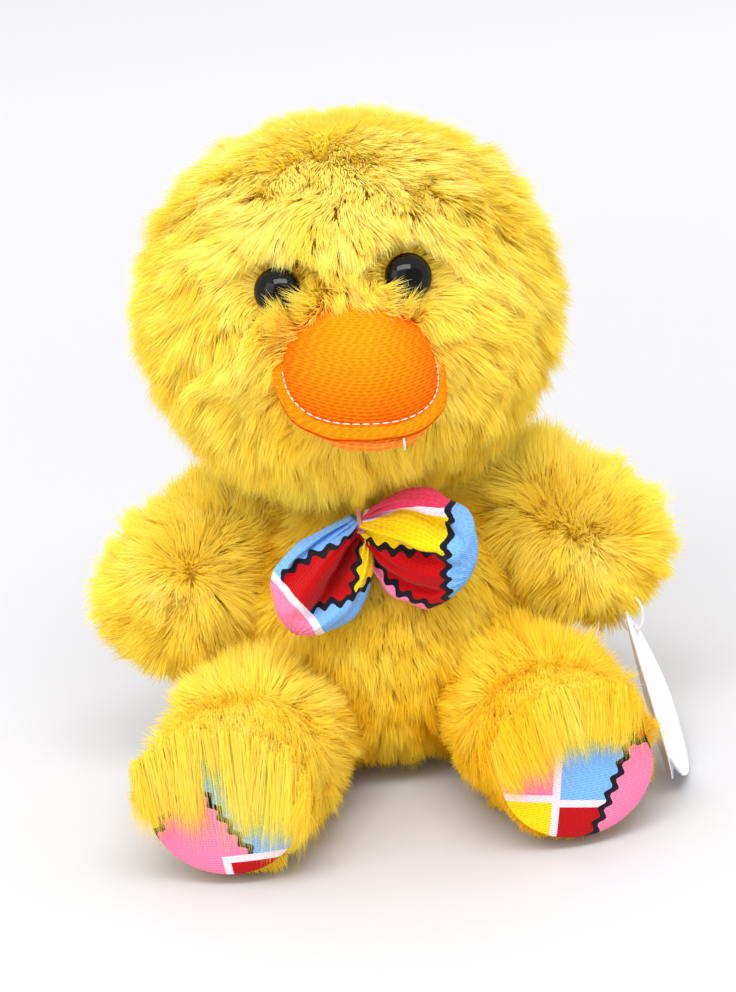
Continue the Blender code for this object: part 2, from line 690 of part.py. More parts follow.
def make_duck():
    clear_scene()
    finishes = {
        "fur": material("fur", (0.95, 0.66, 0.09), 0.95),
        "stuffing": material("stuffing", (0.86, 0.86, 0.83), 1.0),
        "bill": material("bill knit", (0.98, 0.30, 0.02), 0.85),
        "knit print": material("knit print", (0.30, 0.52, 0.92), 0.85),
        "eye": material("eye", (0.012, 0.012, 0.014), 0.08),
        "washer": material("washer", (0.80, 0.80, 0.78), 0.5),
        "white thread": material("white thread", (0.90, 0.88, 0.80), 0.7),
        "pink thread": material("pink thread", (0.85, 0.45, 0.45), 0.7),
        "card": material("card", (0.90, 0.90, 0.92), 0.6),
        "loop": material("loop", (0.92, 0.92, 0.90), 0.4),
    }
    floor = floor_cutter()
    make_torso(finishes, floor)
    neck = axis_at("neck_axis", NECK)
    make_head(finishes, neck)
    make_bill(finishes, neck)
    for side, word in SIDES.items():
        wing = axis_at("shoulder_axis_" + word, shoulder(side))
        wing_skin = make_wing(finishes, side, word, wing)
        if side == TAG_SIDE:
            make_tag(finishes, wing_skin, wing, axis_at("tag_axis", tag_frame().translation))
        make_leg(finishes, side, word, axis_at("hip_axis_" + word, hip(side)), floor)
    make_bow(finishes, axis_at("bow_axis", bow_centre()))


make_duck()
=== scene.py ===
import json
import math
from types import SimpleNamespace

import bmesh
import bpy
import numpy as np
from mathutils import Matrix, Vector

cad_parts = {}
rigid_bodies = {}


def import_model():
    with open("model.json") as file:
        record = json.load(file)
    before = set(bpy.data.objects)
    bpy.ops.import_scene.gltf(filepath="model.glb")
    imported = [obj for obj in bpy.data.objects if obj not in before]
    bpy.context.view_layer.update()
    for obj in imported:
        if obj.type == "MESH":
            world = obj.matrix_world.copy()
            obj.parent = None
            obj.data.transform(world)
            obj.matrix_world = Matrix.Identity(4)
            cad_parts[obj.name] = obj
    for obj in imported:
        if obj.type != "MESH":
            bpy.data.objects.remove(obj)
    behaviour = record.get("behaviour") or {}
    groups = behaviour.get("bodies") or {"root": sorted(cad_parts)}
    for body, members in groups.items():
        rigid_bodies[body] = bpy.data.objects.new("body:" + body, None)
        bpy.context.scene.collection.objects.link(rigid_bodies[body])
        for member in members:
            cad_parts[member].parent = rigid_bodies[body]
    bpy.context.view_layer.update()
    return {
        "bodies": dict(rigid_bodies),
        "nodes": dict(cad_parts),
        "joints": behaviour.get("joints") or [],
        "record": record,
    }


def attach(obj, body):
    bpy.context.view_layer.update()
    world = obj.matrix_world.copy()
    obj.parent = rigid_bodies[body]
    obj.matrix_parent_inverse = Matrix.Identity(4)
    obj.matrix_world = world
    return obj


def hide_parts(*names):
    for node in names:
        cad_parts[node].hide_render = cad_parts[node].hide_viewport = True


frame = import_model()
print("frame loaded")


class Wire:
    # one socket, with arithmetic that adds Math nodes
    def __init__(self, maker, socket):
        self.maker = maker
        self.socket = socket

    def other(self, name):
        return Wire(self.maker, self.socket.node.outputs[name])

    def __rsub__(self, b):
        return self.maker.maths("SUBTRACT", b, self)


def addMaths(name, operation):
    setattr(Wire, name, lambda self, b=None: self.maker.maths(operation, self, b))


for name, operation in (("__add__", "ADD"), ("__radd__", "ADD"), ("__sub__", "SUBTRACT"), ("__mul__", "MULTIPLY"),
                        ("__rmul__", "MULTIPLY"), ("__truediv__", "DIVIDE"), ("__pow__", "POWER"), ("sine", "SINE"),
                        ("absolute", "ABSOLUTE"), ("least", "MINIMUM"), ("most", "MAXIMUM")):
    addMaths(name, operation)


class NodeMaker:
    # adds nodes to one tree: type, settings, then values or wires for its inputs
    def __init__(self, tree):
        self.tree = tree

    def node(self, kind, settings=None, inputs=None, output=None):
        made = self.tree.nodes.new(kind)
        for key, value in (settings or {}).items():
            if key == "stops":
                self.fillRamp(made.color_ramp, value)
            else:
                setattr(made, key, value)
        live = [s for s in made.inputs if s.enabled]
        for key, value in (inputs or {}).items():
            socket = live[key] if isinstance(key, int) else next(s for s in live if s.name == key)
            if isinstance(value, Wire):
                self.tree.links.new(value.socket, socket)
            else:
                plain = socket.type == "RGBA" and len(value) == 3
                socket.default_value = (*value, 1) if plain else value
        ready = [s for s in made.outputs if s.enabled]
        if not ready:
            return Wire(self, None)
        return Wire(self, ready[0] if output is None else next(s for s in ready if s.name == output))

    def fillRamp(self, ramp, stops):
        while len(ramp.elements) < len(stops):
            ramp.elements.new(1.0)
        for element, (place, color) in zip(ramp.elements, stops):
            element.position = place
            element.color = (*color, 1.0)

    def maths(self, operation, a, b=None):
        return self.node("ShaderNodeMath", {"operation": operation}, {0: a} if b is None else {0: a, 1: b})

    def vector(self, operation, a, b=None):
        return self.node("ShaderNodeVectorMath", {"operation": operation}, {0: a} if b is None else {0: a, 1: b})

    def scaled(self, a, scale):
        return self.node("ShaderNodeVectorMath", {"operation": "SCALE"}, {0: a, "Scale": scale})

    def mix(self, share, a, b, blend="MIX"):
        settings = {"data_type": "RGBA", "blend_type": blend}
        return self.node("ShaderNodeMix", settings, {"Factor": share, "A": a, "B": b})

    def ramp(self, share, *stops):
        return self.node("ShaderNodeValToRGB", {"stops": stops}, {"Fac": share})

    def noise(self, place, scale, detail=3.0):
        return self.node("ShaderNodeTexNoise", None, {"Vector": place, "Scale": scale, "Detail": detail})

    def remap(self, value, low, high, newLow=0.0, newHigh=1.0, curve="LINEAR"):
        inputs = {0: value, 1: low, 2: high, 3: newLow, 4: newHigh}
        return self.node("ShaderNodeMapRange", {"interpolation_type": curve}, inputs)

    def place(self):
        return self.node("ShaderNodeTexCoord", output="Object")

    def onMap(self, name):
        return self.node("ShaderNodeSeparateXYZ", None, {0: self.node("ShaderNodeUVMap", {"uv_map": name})})

    def onPoints(self, name):
        return self.node("ShaderNodeAttribute", {"attribute_name": name}, output="Fac")

    def link(self, wire, socket):
        self.tree.links.new(wire.socket, socket)


def rgb(red, green, blue):
    # screen values 0 to 255 to a linear colour
    return tuple(((c / 255 + 0.055) / 1.055) ** 2.4 if c > 10 else c / 255 / 12.92 for c in (red, green, blue))


def darker(color, share):
    return tuple(c * share for c in color)


def newMaterial(name, **sockets):
    made = bpy.data.materials.new(name)
    made.use_nodes = True
    shader = made.node_tree.nodes["Principled BSDF"]
    for key, value in sockets.items():
        shader.inputs[key.replace("_", " ")].default_value = value
    return made, NodeMaker(made.node_tree), shader


def bumpInto(maker, shader, height, distance, strength=1.0):
    bump = maker.node("ShaderNodeBump", None, {"Strength": strength, "Distance": distance, "Height": height})
    maker.link(bump, shader.inputs["Normal"])


def addObject(name, data):
    thing = bpy.data.objects.new(name, data)
    bpy.context.scene.collection.objects.link(thing)
    return thing


view = {"elevation": 21.88, "azimuth": 0.996, "roll": -6.69, "distance": 0.85,
        "target": (-0.0005, -0.02, 0.1023), "pixel": 0.0003344, "height": 992, "sensor": 24, "nearest": 0.01}


def viewAxes():
    up, side, roll = (math.radians(view[key]) for key in ("elevation", "azimuth", "roll"))
    towards = Vector((math.sin(side) * math.cos(up), -math.cos(side) * math.cos(up), math.sin(up)))
    right = Vector((math.cos(side), math.sin(side), 0))
    upward = towards.cross(right)
    return (right * math.cos(roll) + upward * math.sin(roll),
            upward * math.cos(roll) - right * math.sin(roll), towards)


def makeCamera():
    right, upward, towards = viewAxes()
    lens = bpy.data.cameras.new("photoCamera")
    lens.sensor_fit = "VERTICAL"
    lens.sensor_height = view["sensor"]
    lens.lens = view["sensor"] * view["distance"] / (view["height"] * view["pixel"])
    lens.clip_start = view["nearest"]
    camera = addObject("photoCamera", lens)
    turn = Matrix((right, upward, towards)).transposed().to_4x4()
    camera.matrix_world = Matrix.Translation(Vector(view["target"]) + towards * view["distance"]) @ turn
    bpy.context.scene.camera = camera
    bpy.context.scene.view_settings.view_transform = "Standard"


# the floor colour near the toy is painted darker as shade, and farFloor is the colour further out
studio = {"world": 1.27, "floor": (0.535, 0.534, 0.553), "farFloor": (0.672, 0.668, 0.692),
          "farFrom": 0.12, "farTo": 1.1, "floorReach": 6.0, "backdrop": (0.945, 0.94, 0.98), "aim": (0, 0, 0.12)}
lamps = {"topSoftbox": {"power": 11.5, "size": (1.0, 0.34), "place": (0.02, -0.62, 1.10), "gloss": 1.0},
         "sideSoftbox": {"power": 5.0, "size": (0.8, 0.8), "place": (-1.0, -0.9, 0.9), "gloss": 0.0}}


def makeLamp(name, values):
    lamp = bpy.data.lights.new(name, "AREA")
    lamp.energy = values["power"]
    lamp.shape = "RECTANGLE"
    lamp.size, lamp.size_y = values["size"]
    lamp.specular_factor = values["gloss"]
    thing = addObject(name, lamp)
    thing.location = values["place"]
    towards = Vector(studio["aim"]) - Vector(values["place"])
    thing.rotation_euler = towards.to_track_quat("-Z", "Y").to_euler()


def makeStudio():
    world = bpy.data.worlds.new("studio")
    bpy.context.scene.world = world
    world.use_nodes = True
    maker = NodeMaker(world.node_tree)
    path = maker.node("ShaderNodeLightPath", output="Is Camera Ray")
    seen = path.most(path.other("Is Transmission Ray")).most(path.other("Is Glossy Ray"))
    lit = world.node_tree.nodes["Background"]
    lit.inputs["Color"].default_value = (1, 1, 1, 1)
    lit.inputs["Strength"].default_value = studio["world"]
    shown = maker.node("ShaderNodeBackground", None, {"Color": studio["backdrop"], "Strength": 1.0})
    both = maker.node("ShaderNodeMixShader", None, {0: seen, 1: Wire(maker, lit.outputs[0]), 2: shown})
    maker.link(both, world.node_tree.nodes["World Output"].inputs["Surface"])
    for name, values in lamps.items():
        makeLamp(name, values)

    reach = studio["floorReach"]
    mesh = bpy.data.meshes.new("floor")
    corners = [(-reach, -reach, 0), (reach, -reach, 0), (reach, reach, 0), (-reach, reach, 0)]
    mesh.from_pydata(corners, [], [(0, 1, 2, 3)])
    floor = addObject("floor", mesh)
    finish, maker, shader = newMaterial("paleFloor", Roughness=0.6, Specular_IOR_Level=0.2)
    # painted shade: the floor is darker near the toy than far off, against the lamps' stronger light there, which also
    # deepens the toy's shadow
    away = maker.vector("LENGTH", maker.place()).other("Value")
    pale = maker.remap(away, studio["farFrom"], studio["farTo"], curve="SMOOTHSTEP")
    maker.link(maker.mix(pale, studio["floor"], studio["farFloor"]), shader.inputs["Base Color"])
    mesh.materials.append(finish)


makeCamera()
makeStudio()
print("camera and studio made")


# the forms of the toy, as the part has them
forms = {
    "torso": {"length": 0.116, "width": 0.100, "depth": 0.090, "taper": 0.20, "full": 0.80, "start": -0.0005},
    "head": {"length": 0.133, "width": 0.140, "depth": 0.124, "taper": 0.0, "full": 1.0, "start": -0.0665},
    "wing": {"length": 0.088, "width": 0.059, "depth": 0.042, "taper": -0.14, "full": 0.80, "start": 0.0},
    "leg": {"length": 0.098, "width": 0.065, "depth": 0.056, "taper": -0.10, "full": 0.62, "start": 0.0},
}
joints = {"head": (0, -0.003, 0.164), "shoulderSpread": 0.038, "shoulderBack": 0.002,
          "shoulderHeight": 0.095, "wingRoot": 0.016, "wingForward": 10, "wingDroop": {1: 36, -1: 41},
          "hipSpread": 0.037, "legRoot": 0.018, "hipForward": 0.018, "legSplay": 16, "legHeight": 0.0275,
          "soleInset": 0.008, "soleLean": 6, "soleTurn": 7}
sides = {1: "left", -1: "right"}


def looking(origin, direction, side):
    up = Vector(direction).normalized()
    across = (Vector(side) - Vector(side).dot(up) * up).normalized()
    return Matrix.Translation(origin) @ Matrix((across, up.cross(across), up)).transposed().to_4x4()


def drooping(side, droop, swing):
    # the way a limb points that hangs by droop and swings forward by swing, and the way its upper edge faces
    direction = (side * math.cos(droop) * math.cos(swing), -math.sin(swing), -math.sin(droop) * math.cos(swing))
    return Vector(direction), (side * math.sin(droop), 0, math.cos(droop))


def wingFrame(side):
    droop = math.radians(joints["wingDroop"][side])
    direction, upper = drooping(side, droop, math.radians(joints["wingForward"]))
    shoulder = Vector((side * joints["shoulderSpread"], joints["shoulderBack"], joints["shoulderHeight"]))
    return looking(shoulder - direction * joints["wingRoot"], direction, upper)


def legFrame(side):
    splay = math.radians(joints["legSplay"])
    direction = Vector((side * math.sin(splay), -math.cos(splay), 0))
    root = Vector((side * joints["hipSpread"], -joints["hipForward"], 0)) - direction * joints["legRoot"]
    root.z = joints["legHeight"]
    return looking(root, direction, (side, 0, 0))


def soleFrame(side):
    lean = Matrix.Rotation(-side * math.radians(joints["soleLean"]), 4, "X")
    lean = lean @ Matrix.Rotation(-math.radians(joints["soleTurn"]), 4, "Y")
    return legFrame(side) @ Matrix.Translation((0, 0, forms["leg"]["length"] - joints["soleInset"])) @ lean


frames = {"torso": Matrix(), "head": Matrix.Translation(joints["head"])}
formOf = {"torso": "torso", "head": "head"}
for side, word in sides.items():
    frames["wing_" + word] = wingFrame(side)
    frames["leg_" + word] = legFrame(side)
    formOf["wing_" + word] = "wing"
    formOf["leg_" + word] = "leg"
soles = {"leg_" + word: soleFrame(side) for side, word in sides.items()}


def smooth(value, low, high):
    share = np.clip((value - low) / (high - low), 0, 1)
    return share * share * (3 - 2 * share)


def moved(points, matrix):
    turn = np.array(matrix)
    return points @ turn[:3, :3].T + turn[:3, 3]


def along(vectors, normals):
    # how far each vector reaches along its normal, as vectors
    return normals * np.sum(vectors * normals, axis=1)[:, None]


def widthShare(form, share):
    # how wide a form is at a share of its length, against its widest named size
    turn = np.arccos(np.clip(1 - 2 * share, -1, 1))
    return np.sin(turn) ** form["full"] * (1 + form["taper"] * np.cos(turn))


def depthOutside(body, points, grow):
    # rough distance of points outside a body's form, below zero inside it
    form = forms[formOf[body]]
    local = moved(points, frames[body].inverted())
    share = (local[:, 2] - form["start"] + grow) / (form["length"] + 2 * grow)
    wide = widthShare(form, np.clip(share, 0.001, 0.999)) + 1e-6
    across = np.hypot(local[:, 0] / (form["width"] / 2 + grow), local[:, 1] / (form["depth"] / 2 + grow))
    beside = (across - wide) * (form["depth"] / 2 + grow)
    beyond = np.abs(share - 0.5) - 0.5
    return np.where(beyond > 0, np.hypot(np.maximum(beside, 0), beyond * form["length"]), beside)


def waves(points, size, seed):
    # smooth wavering of about that size, the same each run
    chance = np.random.default_rng(seed)
    total = np.zeros(len(points))
    for strength in (1.0, 0.8, 0.7, 0.6, 0.5):
        direction = chance.normal(size=3)
        direction *= (0.7 + 0.8 * chance.random()) * math.tau / size / np.linalg.norm(direction)
        total += strength * np.sin(points @ direction + chance.random() * math.tau)
    return total / 1.8


def bump(points, centre, reach):
    return np.exp(-(np.linalg.norm(points - np.array(centre), axis=1) / reach) ** 2)


def cleanMesh(name, points, faces):
    mesh = bpy.data.meshes.new(name)
    mesh.from_pydata(points, [], faces)
    work = bmesh.new()
    work.from_mesh(mesh)
    bmesh.ops.remove_doubles(work, verts=work.verts, dist=1e-7)
    bmesh.ops.recalc_face_normals(work, faces=work.faces)
    work.to_mesh(mesh)
    work.free()
    mesh.shade_smooth()
    return mesh


def gridMesh(name, rings):
    # skin over rings of equal count, with a pole at each end
    count = len(rings[0])
    points = [tuple(p) for ring in rings for p in ring]
    faces = []
    for i in range(len(rings) - 1):
        for j in range(count):
            k = (j + 1) % count
            faces.append((i * count + j, i * count + k, (i + 1) * count + k, (i + 1) * count + j))
    for ring, flip in ((0, True), (len(rings) - 1, False)):
        points.append(tuple(np.mean(np.array(rings[ring]), axis=0)))
        for j in range(count):
            corner = (ring * count + j, ring * count + (j + 1) % count, len(points) - 1)
            faces.append(corner[::-1] if flip else corner)
    return cleanMesh(name, points, faces)


def oval(halfWidth, halfDepth, height, sides):
    turns = [math.tau * i / sides for i in range(sides)]
    return [(halfWidth * math.cos(t), halfDepth * math.sin(t), height) for t in turns]


def meshPoints(mesh):
    points = np.zeros(len(mesh.vertices) * 3)
    mesh.vertices.foreach_get("co", points)
    return points.reshape(-1, 3)


def setPoints(mesh, points):
    mesh.vertices.foreach_set("co", np.ascontiguousarray(points, np.float64).ravel())
    mesh.update()


def vertexNormals(mesh):
    normals = np.zeros(len(mesh.vertices) * 3)
    mesh.vertex_normals.foreach_get("vector", normals)
    return normals.reshape(-1, 3)


mapScale = 10


def setMap(mesh, name, spots):
    corners = np.zeros(len(mesh.loops), np.int32)
    mesh.loops.foreach_get("vertex_index", corners)
    mesh.uv_layers.new(name=name).data.foreach_set("uv", spots[corners].astype(np.float32).ravel())


def addAttribute(mesh, name, values):
    kind = "FLOAT_VECTOR" if values.ndim > 1 else "FLOAT"
    layer = mesh.attributes.new(name, kind, "POINT")
    field = "vector" if values.ndim > 1 else "value"
    layer.data.foreach_set(field, np.ascontiguousarray(values, np.float32).ravel())


def evaluated(thing, name):
    # the mesh that a helper's modifiers make; the helper goes
    graph = bpy.context.evaluated_depsgraph_get()
    made = bpy.data.meshes.new_from_object(thing.evaluated_get(graph), depsgraph=graph)
    made.name = name
    bpy.data.objects.remove(thing)
    return made


backing = {"sink": {"torso": 0.0070, "head": 0.0080, "wing": 0.0080, "leg": 0.0075}, "rings": 56, "sides": 72,
           "eyeDent": 0.0035, "eyeDentReach": 0.0145, "soleEdge": 0.0015, "soleNeck": 0.60, "soleGap": 0.0003,
           "lowest": 0.0012}
sole = {"width": 0.050, "height": 0.046, "sides": 96, "rings": 18, "belly": 0.0026, "edge": 0.0008,
        "lowest": 0.0002, "rim": [(1.0, 0.0006), (0.995, 0.0), (0.9, -0.0002), (0.4, -0.0002)]}
eye = {"diameter": 0.015, "dome": 0.0062, "rim": 0.0010, "spread": 0.0215, "rise": 0.0245, "sink": 0.0048,
       "shank": 0.0036, "shankLength": 0.0140, "bevel": 0.0004, "shankTip": 0.0007, "neck": 0.0001, "sides": 64,
       "steps": 24, "iris": 0.86, "pupil": 0.40, "pupilShift": {1: (0.02, -0.10), -1: (0.20, -0.14)}}
bill = {"width": 0.054, "reach": 0.033, "rise": 0.0222, "side": 0.0018, "drop": 0.0056, "base": 0.055,
        "tilt": 21.2, "roll": 6.3, "yaw": 4.4, "square": 0.76, "lowerWidth": 0.043, "lowerReach": 0.0315,
        "lowerDeep": 0.0141, "lowerSide": 0.0020, "lowerRim": 0.0020, "puff": 0.835, "puffRise": 0.0038,
        "puffDip": 0.0006, "full": 0.62, "back": 0.017, "sides": 144, "wale": 0.00125, "widen": 0.05,
        "seam": 0.00145, "seamWide": 0.00035, "wrinkle": 0.00022, "wrinkleSize": 0.016,
        "rim": [(0.86, 0.0036), (0.90, 0.0034), (0.94, 0.0033), (0.975, 0.0031), (0.993, 0.0026), (1.0, 0.0021),
                (0.992, 0.00165), (0.988, 0.00145), (0.993, 0.0011), (0.985, 0.0006), (0.96, 0.0003),
                (0.90, 0.0001), (0.60, 0.0), (0.25, 0.0)],
        "lining": [(0.25, -0.0003), (0.60, -0.0003), (0.93, -0.0004), (0.975, -0.0008), (1.0, -0.0020)]}


def eyeFrame(side):
    head = forms["head"]
    across = side * eye["spread"] / (head["width"] / 2)
    upward = eye["rise"] / (head["length"] / 2)
    ahead = math.sqrt(1 - across ** 2 - upward ** 2)
    spot = Vector((side * eye["spread"], -ahead * head["depth"] / 2, eye["rise"]))
    normal = Vector((across / head["width"], -ahead / head["depth"], upward / head["length"]))
    return looking(Vector(joints["head"]) + spot, normal, (1, 0, 0))


def billFrame():
    corners = Vector(joints["head"]) + Vector((bill["side"], -bill["base"], -bill["drop"]))
    yaw, roll, tilt = (math.radians(bill[key]) for key in ("yaw", "roll", "tilt"))
    askew = Matrix.Rotation(yaw, 4, "Z") @ Matrix.Rotation(roll, 4, "Y")
    return Matrix.Translation(corners) @ askew @ Matrix.Rotation(tilt, 4, "X")


def backingMesh(body):
    kind = formOf[body]
    form = forms[kind]
    sink = backing["sink"][kind]
    rings = []
    for i in range(1, backing["rings"]):
        share = (1 - math.cos(math.pi * i / backing["rings"])) / 2
        wide = float(widthShare(form, np.array([share]))[0])
        halfWidth = (form["width"] / 2 - sink) * wide
        halfDepth = (form["depth"] / 2 - sink) * wide
        if kind == "leg" and share > backing["soleNeck"]:   # the leg's skin runs straight to the sole's edge
            ease = min(1.0, (share - backing["soleNeck"]) / 0.25)
            ease = ease * ease * (3 - 2 * ease)
            halfWidth += (sole["width"] / 2 - backing["soleEdge"] - halfWidth) * ease
            halfDepth += (sole["height"] / 2 - backing["soleEdge"] - halfDepth) * ease
        height = form["start"] + sink + (form["length"] - 2 * sink) * share
        rings.append(oval(halfWidth, halfDepth, height, backing["sides"]))
    mesh = gridMesh(body + "_backing", rings)
    points = moved(meshPoints(mesh), frames[body])
    if kind == "leg":
        local = moved(points, soles[body].inverted())
        local[:, 2] = np.minimum(local[:, 2], -backing["soleGap"])
        points = moved(local, soles[body])
    if body == "head":
        centre = np.array(joints["head"])
        for side in sides:
            spot = np.array(eyeFrame(side).translation)
            inward = (centre - spot) / np.linalg.norm(centre - spot)
            points += inward * backing["eyeDent"] * bump(points, spot, backing["eyeDentReach"])[:, None]
    points[:, 2] = np.maximum(points[:, 2], backing["lowest"])
    setPoints(mesh, points)
    return mesh


fur = {"density": 5000000, "width": 0.00034, "clumpDensity": 40000, "clumpPull": 0.17, "clumpWave": 0.20,
       "strandWave": 0.16, "lowest": 0.0004, "tilt": 0.68, "glow": 0.58,
       "pile": {"torso": 0.0096, "head": 0.0130, "wing": 0.0132, "leg": 0.0142},
       "meeting": (-0.006, -0.004, 0.001), "paintedCreaseShade": 0.009, "whorl": {"head": 0.022}, "smallWhorl": 0.010,
       "wingTip": (0.060, 0.085), "turns": ((0.030, 11, 0.50), (0.014, 12, 0.42)), "whorlReach": 0.03}
whorls = {"head": (0.002, 0.010, 0.232), "torso": (0, -0.060, 0.125),
          "wing_left": (0.070, -0.030, 0.078), "wing_right": (-0.066, -0.030, 0.078),
          "leg_left": (0.056, -0.076, 0.055), "leg_right": (-0.050, -0.077, 0.055)}
# over a sole the fur is a fringe: an arch over the left one, nearly level over the right one
fringe = {"pile": 0.0150, "face": 0.0068, "from": (-0.032, -0.007), "fade": 0.006, "ragged": 0.0028,
          "raggedSize": 0.009, "archTop": 0.0375, "archDrop": 0.012, "archMiddle": 0.064, "archHalf": 0.0325,
          "levelTop": 0.0195, "levelRise": 0.006, "levelFrom": (0.058, 0.070), "thick": (-0.008, -0.003),
          "rim": (-0.0011, -0.0005), "end": (0.0899, 0.0903), "outerFrom": (0.008, 0.030),
          "innerFrom": (0.004, 0.028), "inner": {"leg_left": 0.62, "leg_right": 0.38},
          "outer": {"leg_left": 0.12, "leg_right": 0.0}}
lids = {"trim": 0.38, "pile": 0.0175, "lean": 0.52, "nose": {1: 0.60, -1: 0.35}, "wide": {1: 0.45, -1: 0.35},
        "around": (0.009, 0.017), "from": (0.0072, 0.0085), "to": (0.0115, 0.0150), "bare": 0.0064, "depth": 0.02}
face = {"lip": 0.0028, "leftRise": 0.0060, "rightRise": 0.0065, "ahead": 0.02, "overSide": 0.004,
        "overWide": 0.010, "cheek": (0.020, -0.040, 0.118), "cheekReach": 0.016,
        "crown": (0.002, -0.030, 0.222), "crownReach": 0.036, "paintedTopLightFrom": (0.185, 0.225), "topFrom": (0.200, 0.224)}


def fringeEdge(body, points):
    # how low the fur over a sole hangs
    ragged = fringe["ragged"] * waves(points, fringe["raggedSize"], 17)
    if body == "leg_left":
        out = (points[:, 0] - fringe["archMiddle"]) / fringe["archHalf"]
        return fringe["archTop"] - fringe["archDrop"] * out ** 2 + ragged
    return fringe["levelTop"] + fringe["levelRise"] * smooth(-points[:, 0], *fringe["levelFrom"]) + ragged * 0.7


def combLeg(f, body, points, normals):
    ahead = np.array(frames[body].to_3x3().col[2])
    local = moved(points, frames[body].inverted())
    patch = np.array(soles[body].inverted())
    behind = points @ patch[2, :3] + patch[2, 3]
    front = smooth(behind, *fringe["from"])
    hang = points[:, 2] - fringeEdge(body, points)
    f.share = front * smooth(hang, 0, fringe["fade"])
    plain = 1 - f.share
    # over the sole the fur reaches past the rim and then hangs down in front of it
    f.pile *= 1 - 0.45 * front * plain
    f.pile *= 1 - fringe["outer"][body] * smooth(local[:, 0], *fringe["outerFrom"]) * plain
    f.pile *= 1 - fringe["inner"][body] * smooth(-local[:, 0], *fringe["innerFrom"]) * plain
    f.pile = f.pile * plain + fringe["pile"] * f.share
    f.flow = f.flow - (front * plain)[:, None] * 0.7 * ahead
    over = ((fringe["face"] - behind) / fringe["pile"])[:, None] * ahead
    f.fixed = over / 0.85 * f.share[:, None]
    drop = np.maximum(hang, 0) / fringe["pile"]
    upward = np.array((0, 0, 1.0))
    f.fall = f.fall * plain[:, None] + f.share[:, None] * (-drop[:, None] * upward - 0.75 * normals)
    f.bend = f.share[:, None] * (0.30 * over + 0.06 * normals + (0.32 + 0.17 * drop)[:, None] * upward)
    f.cover *= (1 - smooth(behind, *fringe["rim"])) * (1 + 1.3 * f.share * smooth(behind, *fringe["thick"]))
    f.cover *= 1 - smooth(normals @ ahead, 0.55, 0.80)
    f.cover *= 1 - smooth(local[:, 2], *fringe["end"])
    f.loose *= 1 + 0.3 * f.share
    # painted shade: the legs' fur is darker, most on the leg at +x, which lies in the wing's shadow
    f.tone -= 0.34 if body == "leg_left" else 0.12


def combLids(f, points, normals):
    # fur lies away from an eye, and beside the bill it stands up over it
    for side in sides:
        spot = eyeFrame(side)
        local = moved(points, spot.inverted())
        near = np.hypot(local[:, 0], local[:, 1])
        outside = local[:, 2] > -lids["depth"]
        close = (1 - smooth(near, *lids["around"])) * outside
        radial = points - np.array(spot.translation)
        radial -= along(radial, normals)
        radial /= np.linalg.norm(radial, axis=1)[:, None] + 1e-9
        aim = np.array((-side * lids["nose"][side], -1.0))
        aim /= np.linalg.norm(aim)
        towards = (local[:, :2] @ aim) / (near + 1e-9)
        lid = smooth(towards, lids["wide"][side], lids["wide"][side] + 0.3) * smooth(near, *lids["from"])
        lid = lid * (1 - smooth(near, *lids["to"])) * outside
        f.flow = f.flow * (1 - close)[:, None] + close[:, None] * radial
        f.pile *= 1 - close * lids["trim"] * (1 - lid)
        f.pile = f.pile * (1 - lid) + lids["pile"] * lid
        f.fixed = f.fixed - lids["lean"] * radial * lid[:, None]
        f.share = np.maximum(f.share, lid)
        f.cover *= (1 - (near < lids["bare"]) * outside) * (1 + 1.8 * lid)


def combHead(f, points, normals):
    f.flow = f.flow + np.array((0, 0, -0.12))
    combLids(f, points, normals)
    mouth = billFrame()
    local = moved(points, mouth.inverted())
    out = local[:, 0] / (bill["width"] / 2)
    swell = np.maximum(1 - (np.abs(out) / bill["puff"]) ** 2, 0) ** bill["full"]
    top = face["lip"] + (bill["rise"] - face["lip"]) * swell + face["leftRise"] * smooth(out, 0.60, 0.90)
    level = local[:, 2] + face["rightRise"] * smooth(-out, 0.55, 0.90)
    upward = np.where(level > 0, level / top, -level / bill["lowerDeep"])
    reach = (np.abs(out) ** 6 + np.abs(upward) ** 6) ** (1 / 6)
    facing = points[:, 1] < joints["head"][1] - face["ahead"]
    f.cover *= np.where(facing, smooth(reach, 0.80, 0.90), 1)
    rim = np.exp(-((np.minimum(reach, 3) - 1.0) / 0.35) ** 2) * facing
    radial = points - np.array(mouth.translation)
    radial /= np.linalg.norm(radial, axis=1)[:, None]
    over = np.exp(-((local[:, 0] - face["overSide"]) / face["overWide"]) ** 2) * (local[:, 2] > 0)
    f.flow = f.flow + (rim * (1 - 1.9 * over))[:, None] * radial
    f.pile *= 1 - 0.35 * rim * (1 - over) * (1 - f.share)
    f.pile *= 1 - 0.45 * bump(points, face["cheek"], face["cheekReach"])
    crown = bump(points, face["crown"], face["crownReach"])
    f.turn *= 1.25 * (1 - 0.45 * crown)
    f.cover *= 1 + 0.45 * crown
    f.loose *= 1 - 0.65 * crown
    # painted light: the head's fur is lighter, more so towards its top and at the crown, where the light falls
    # strongest
    f.tone += 0.06 + 0.10 * smooth(points[:, 2], *face["paintedTopLightFrom"]) + 0.22 * crown


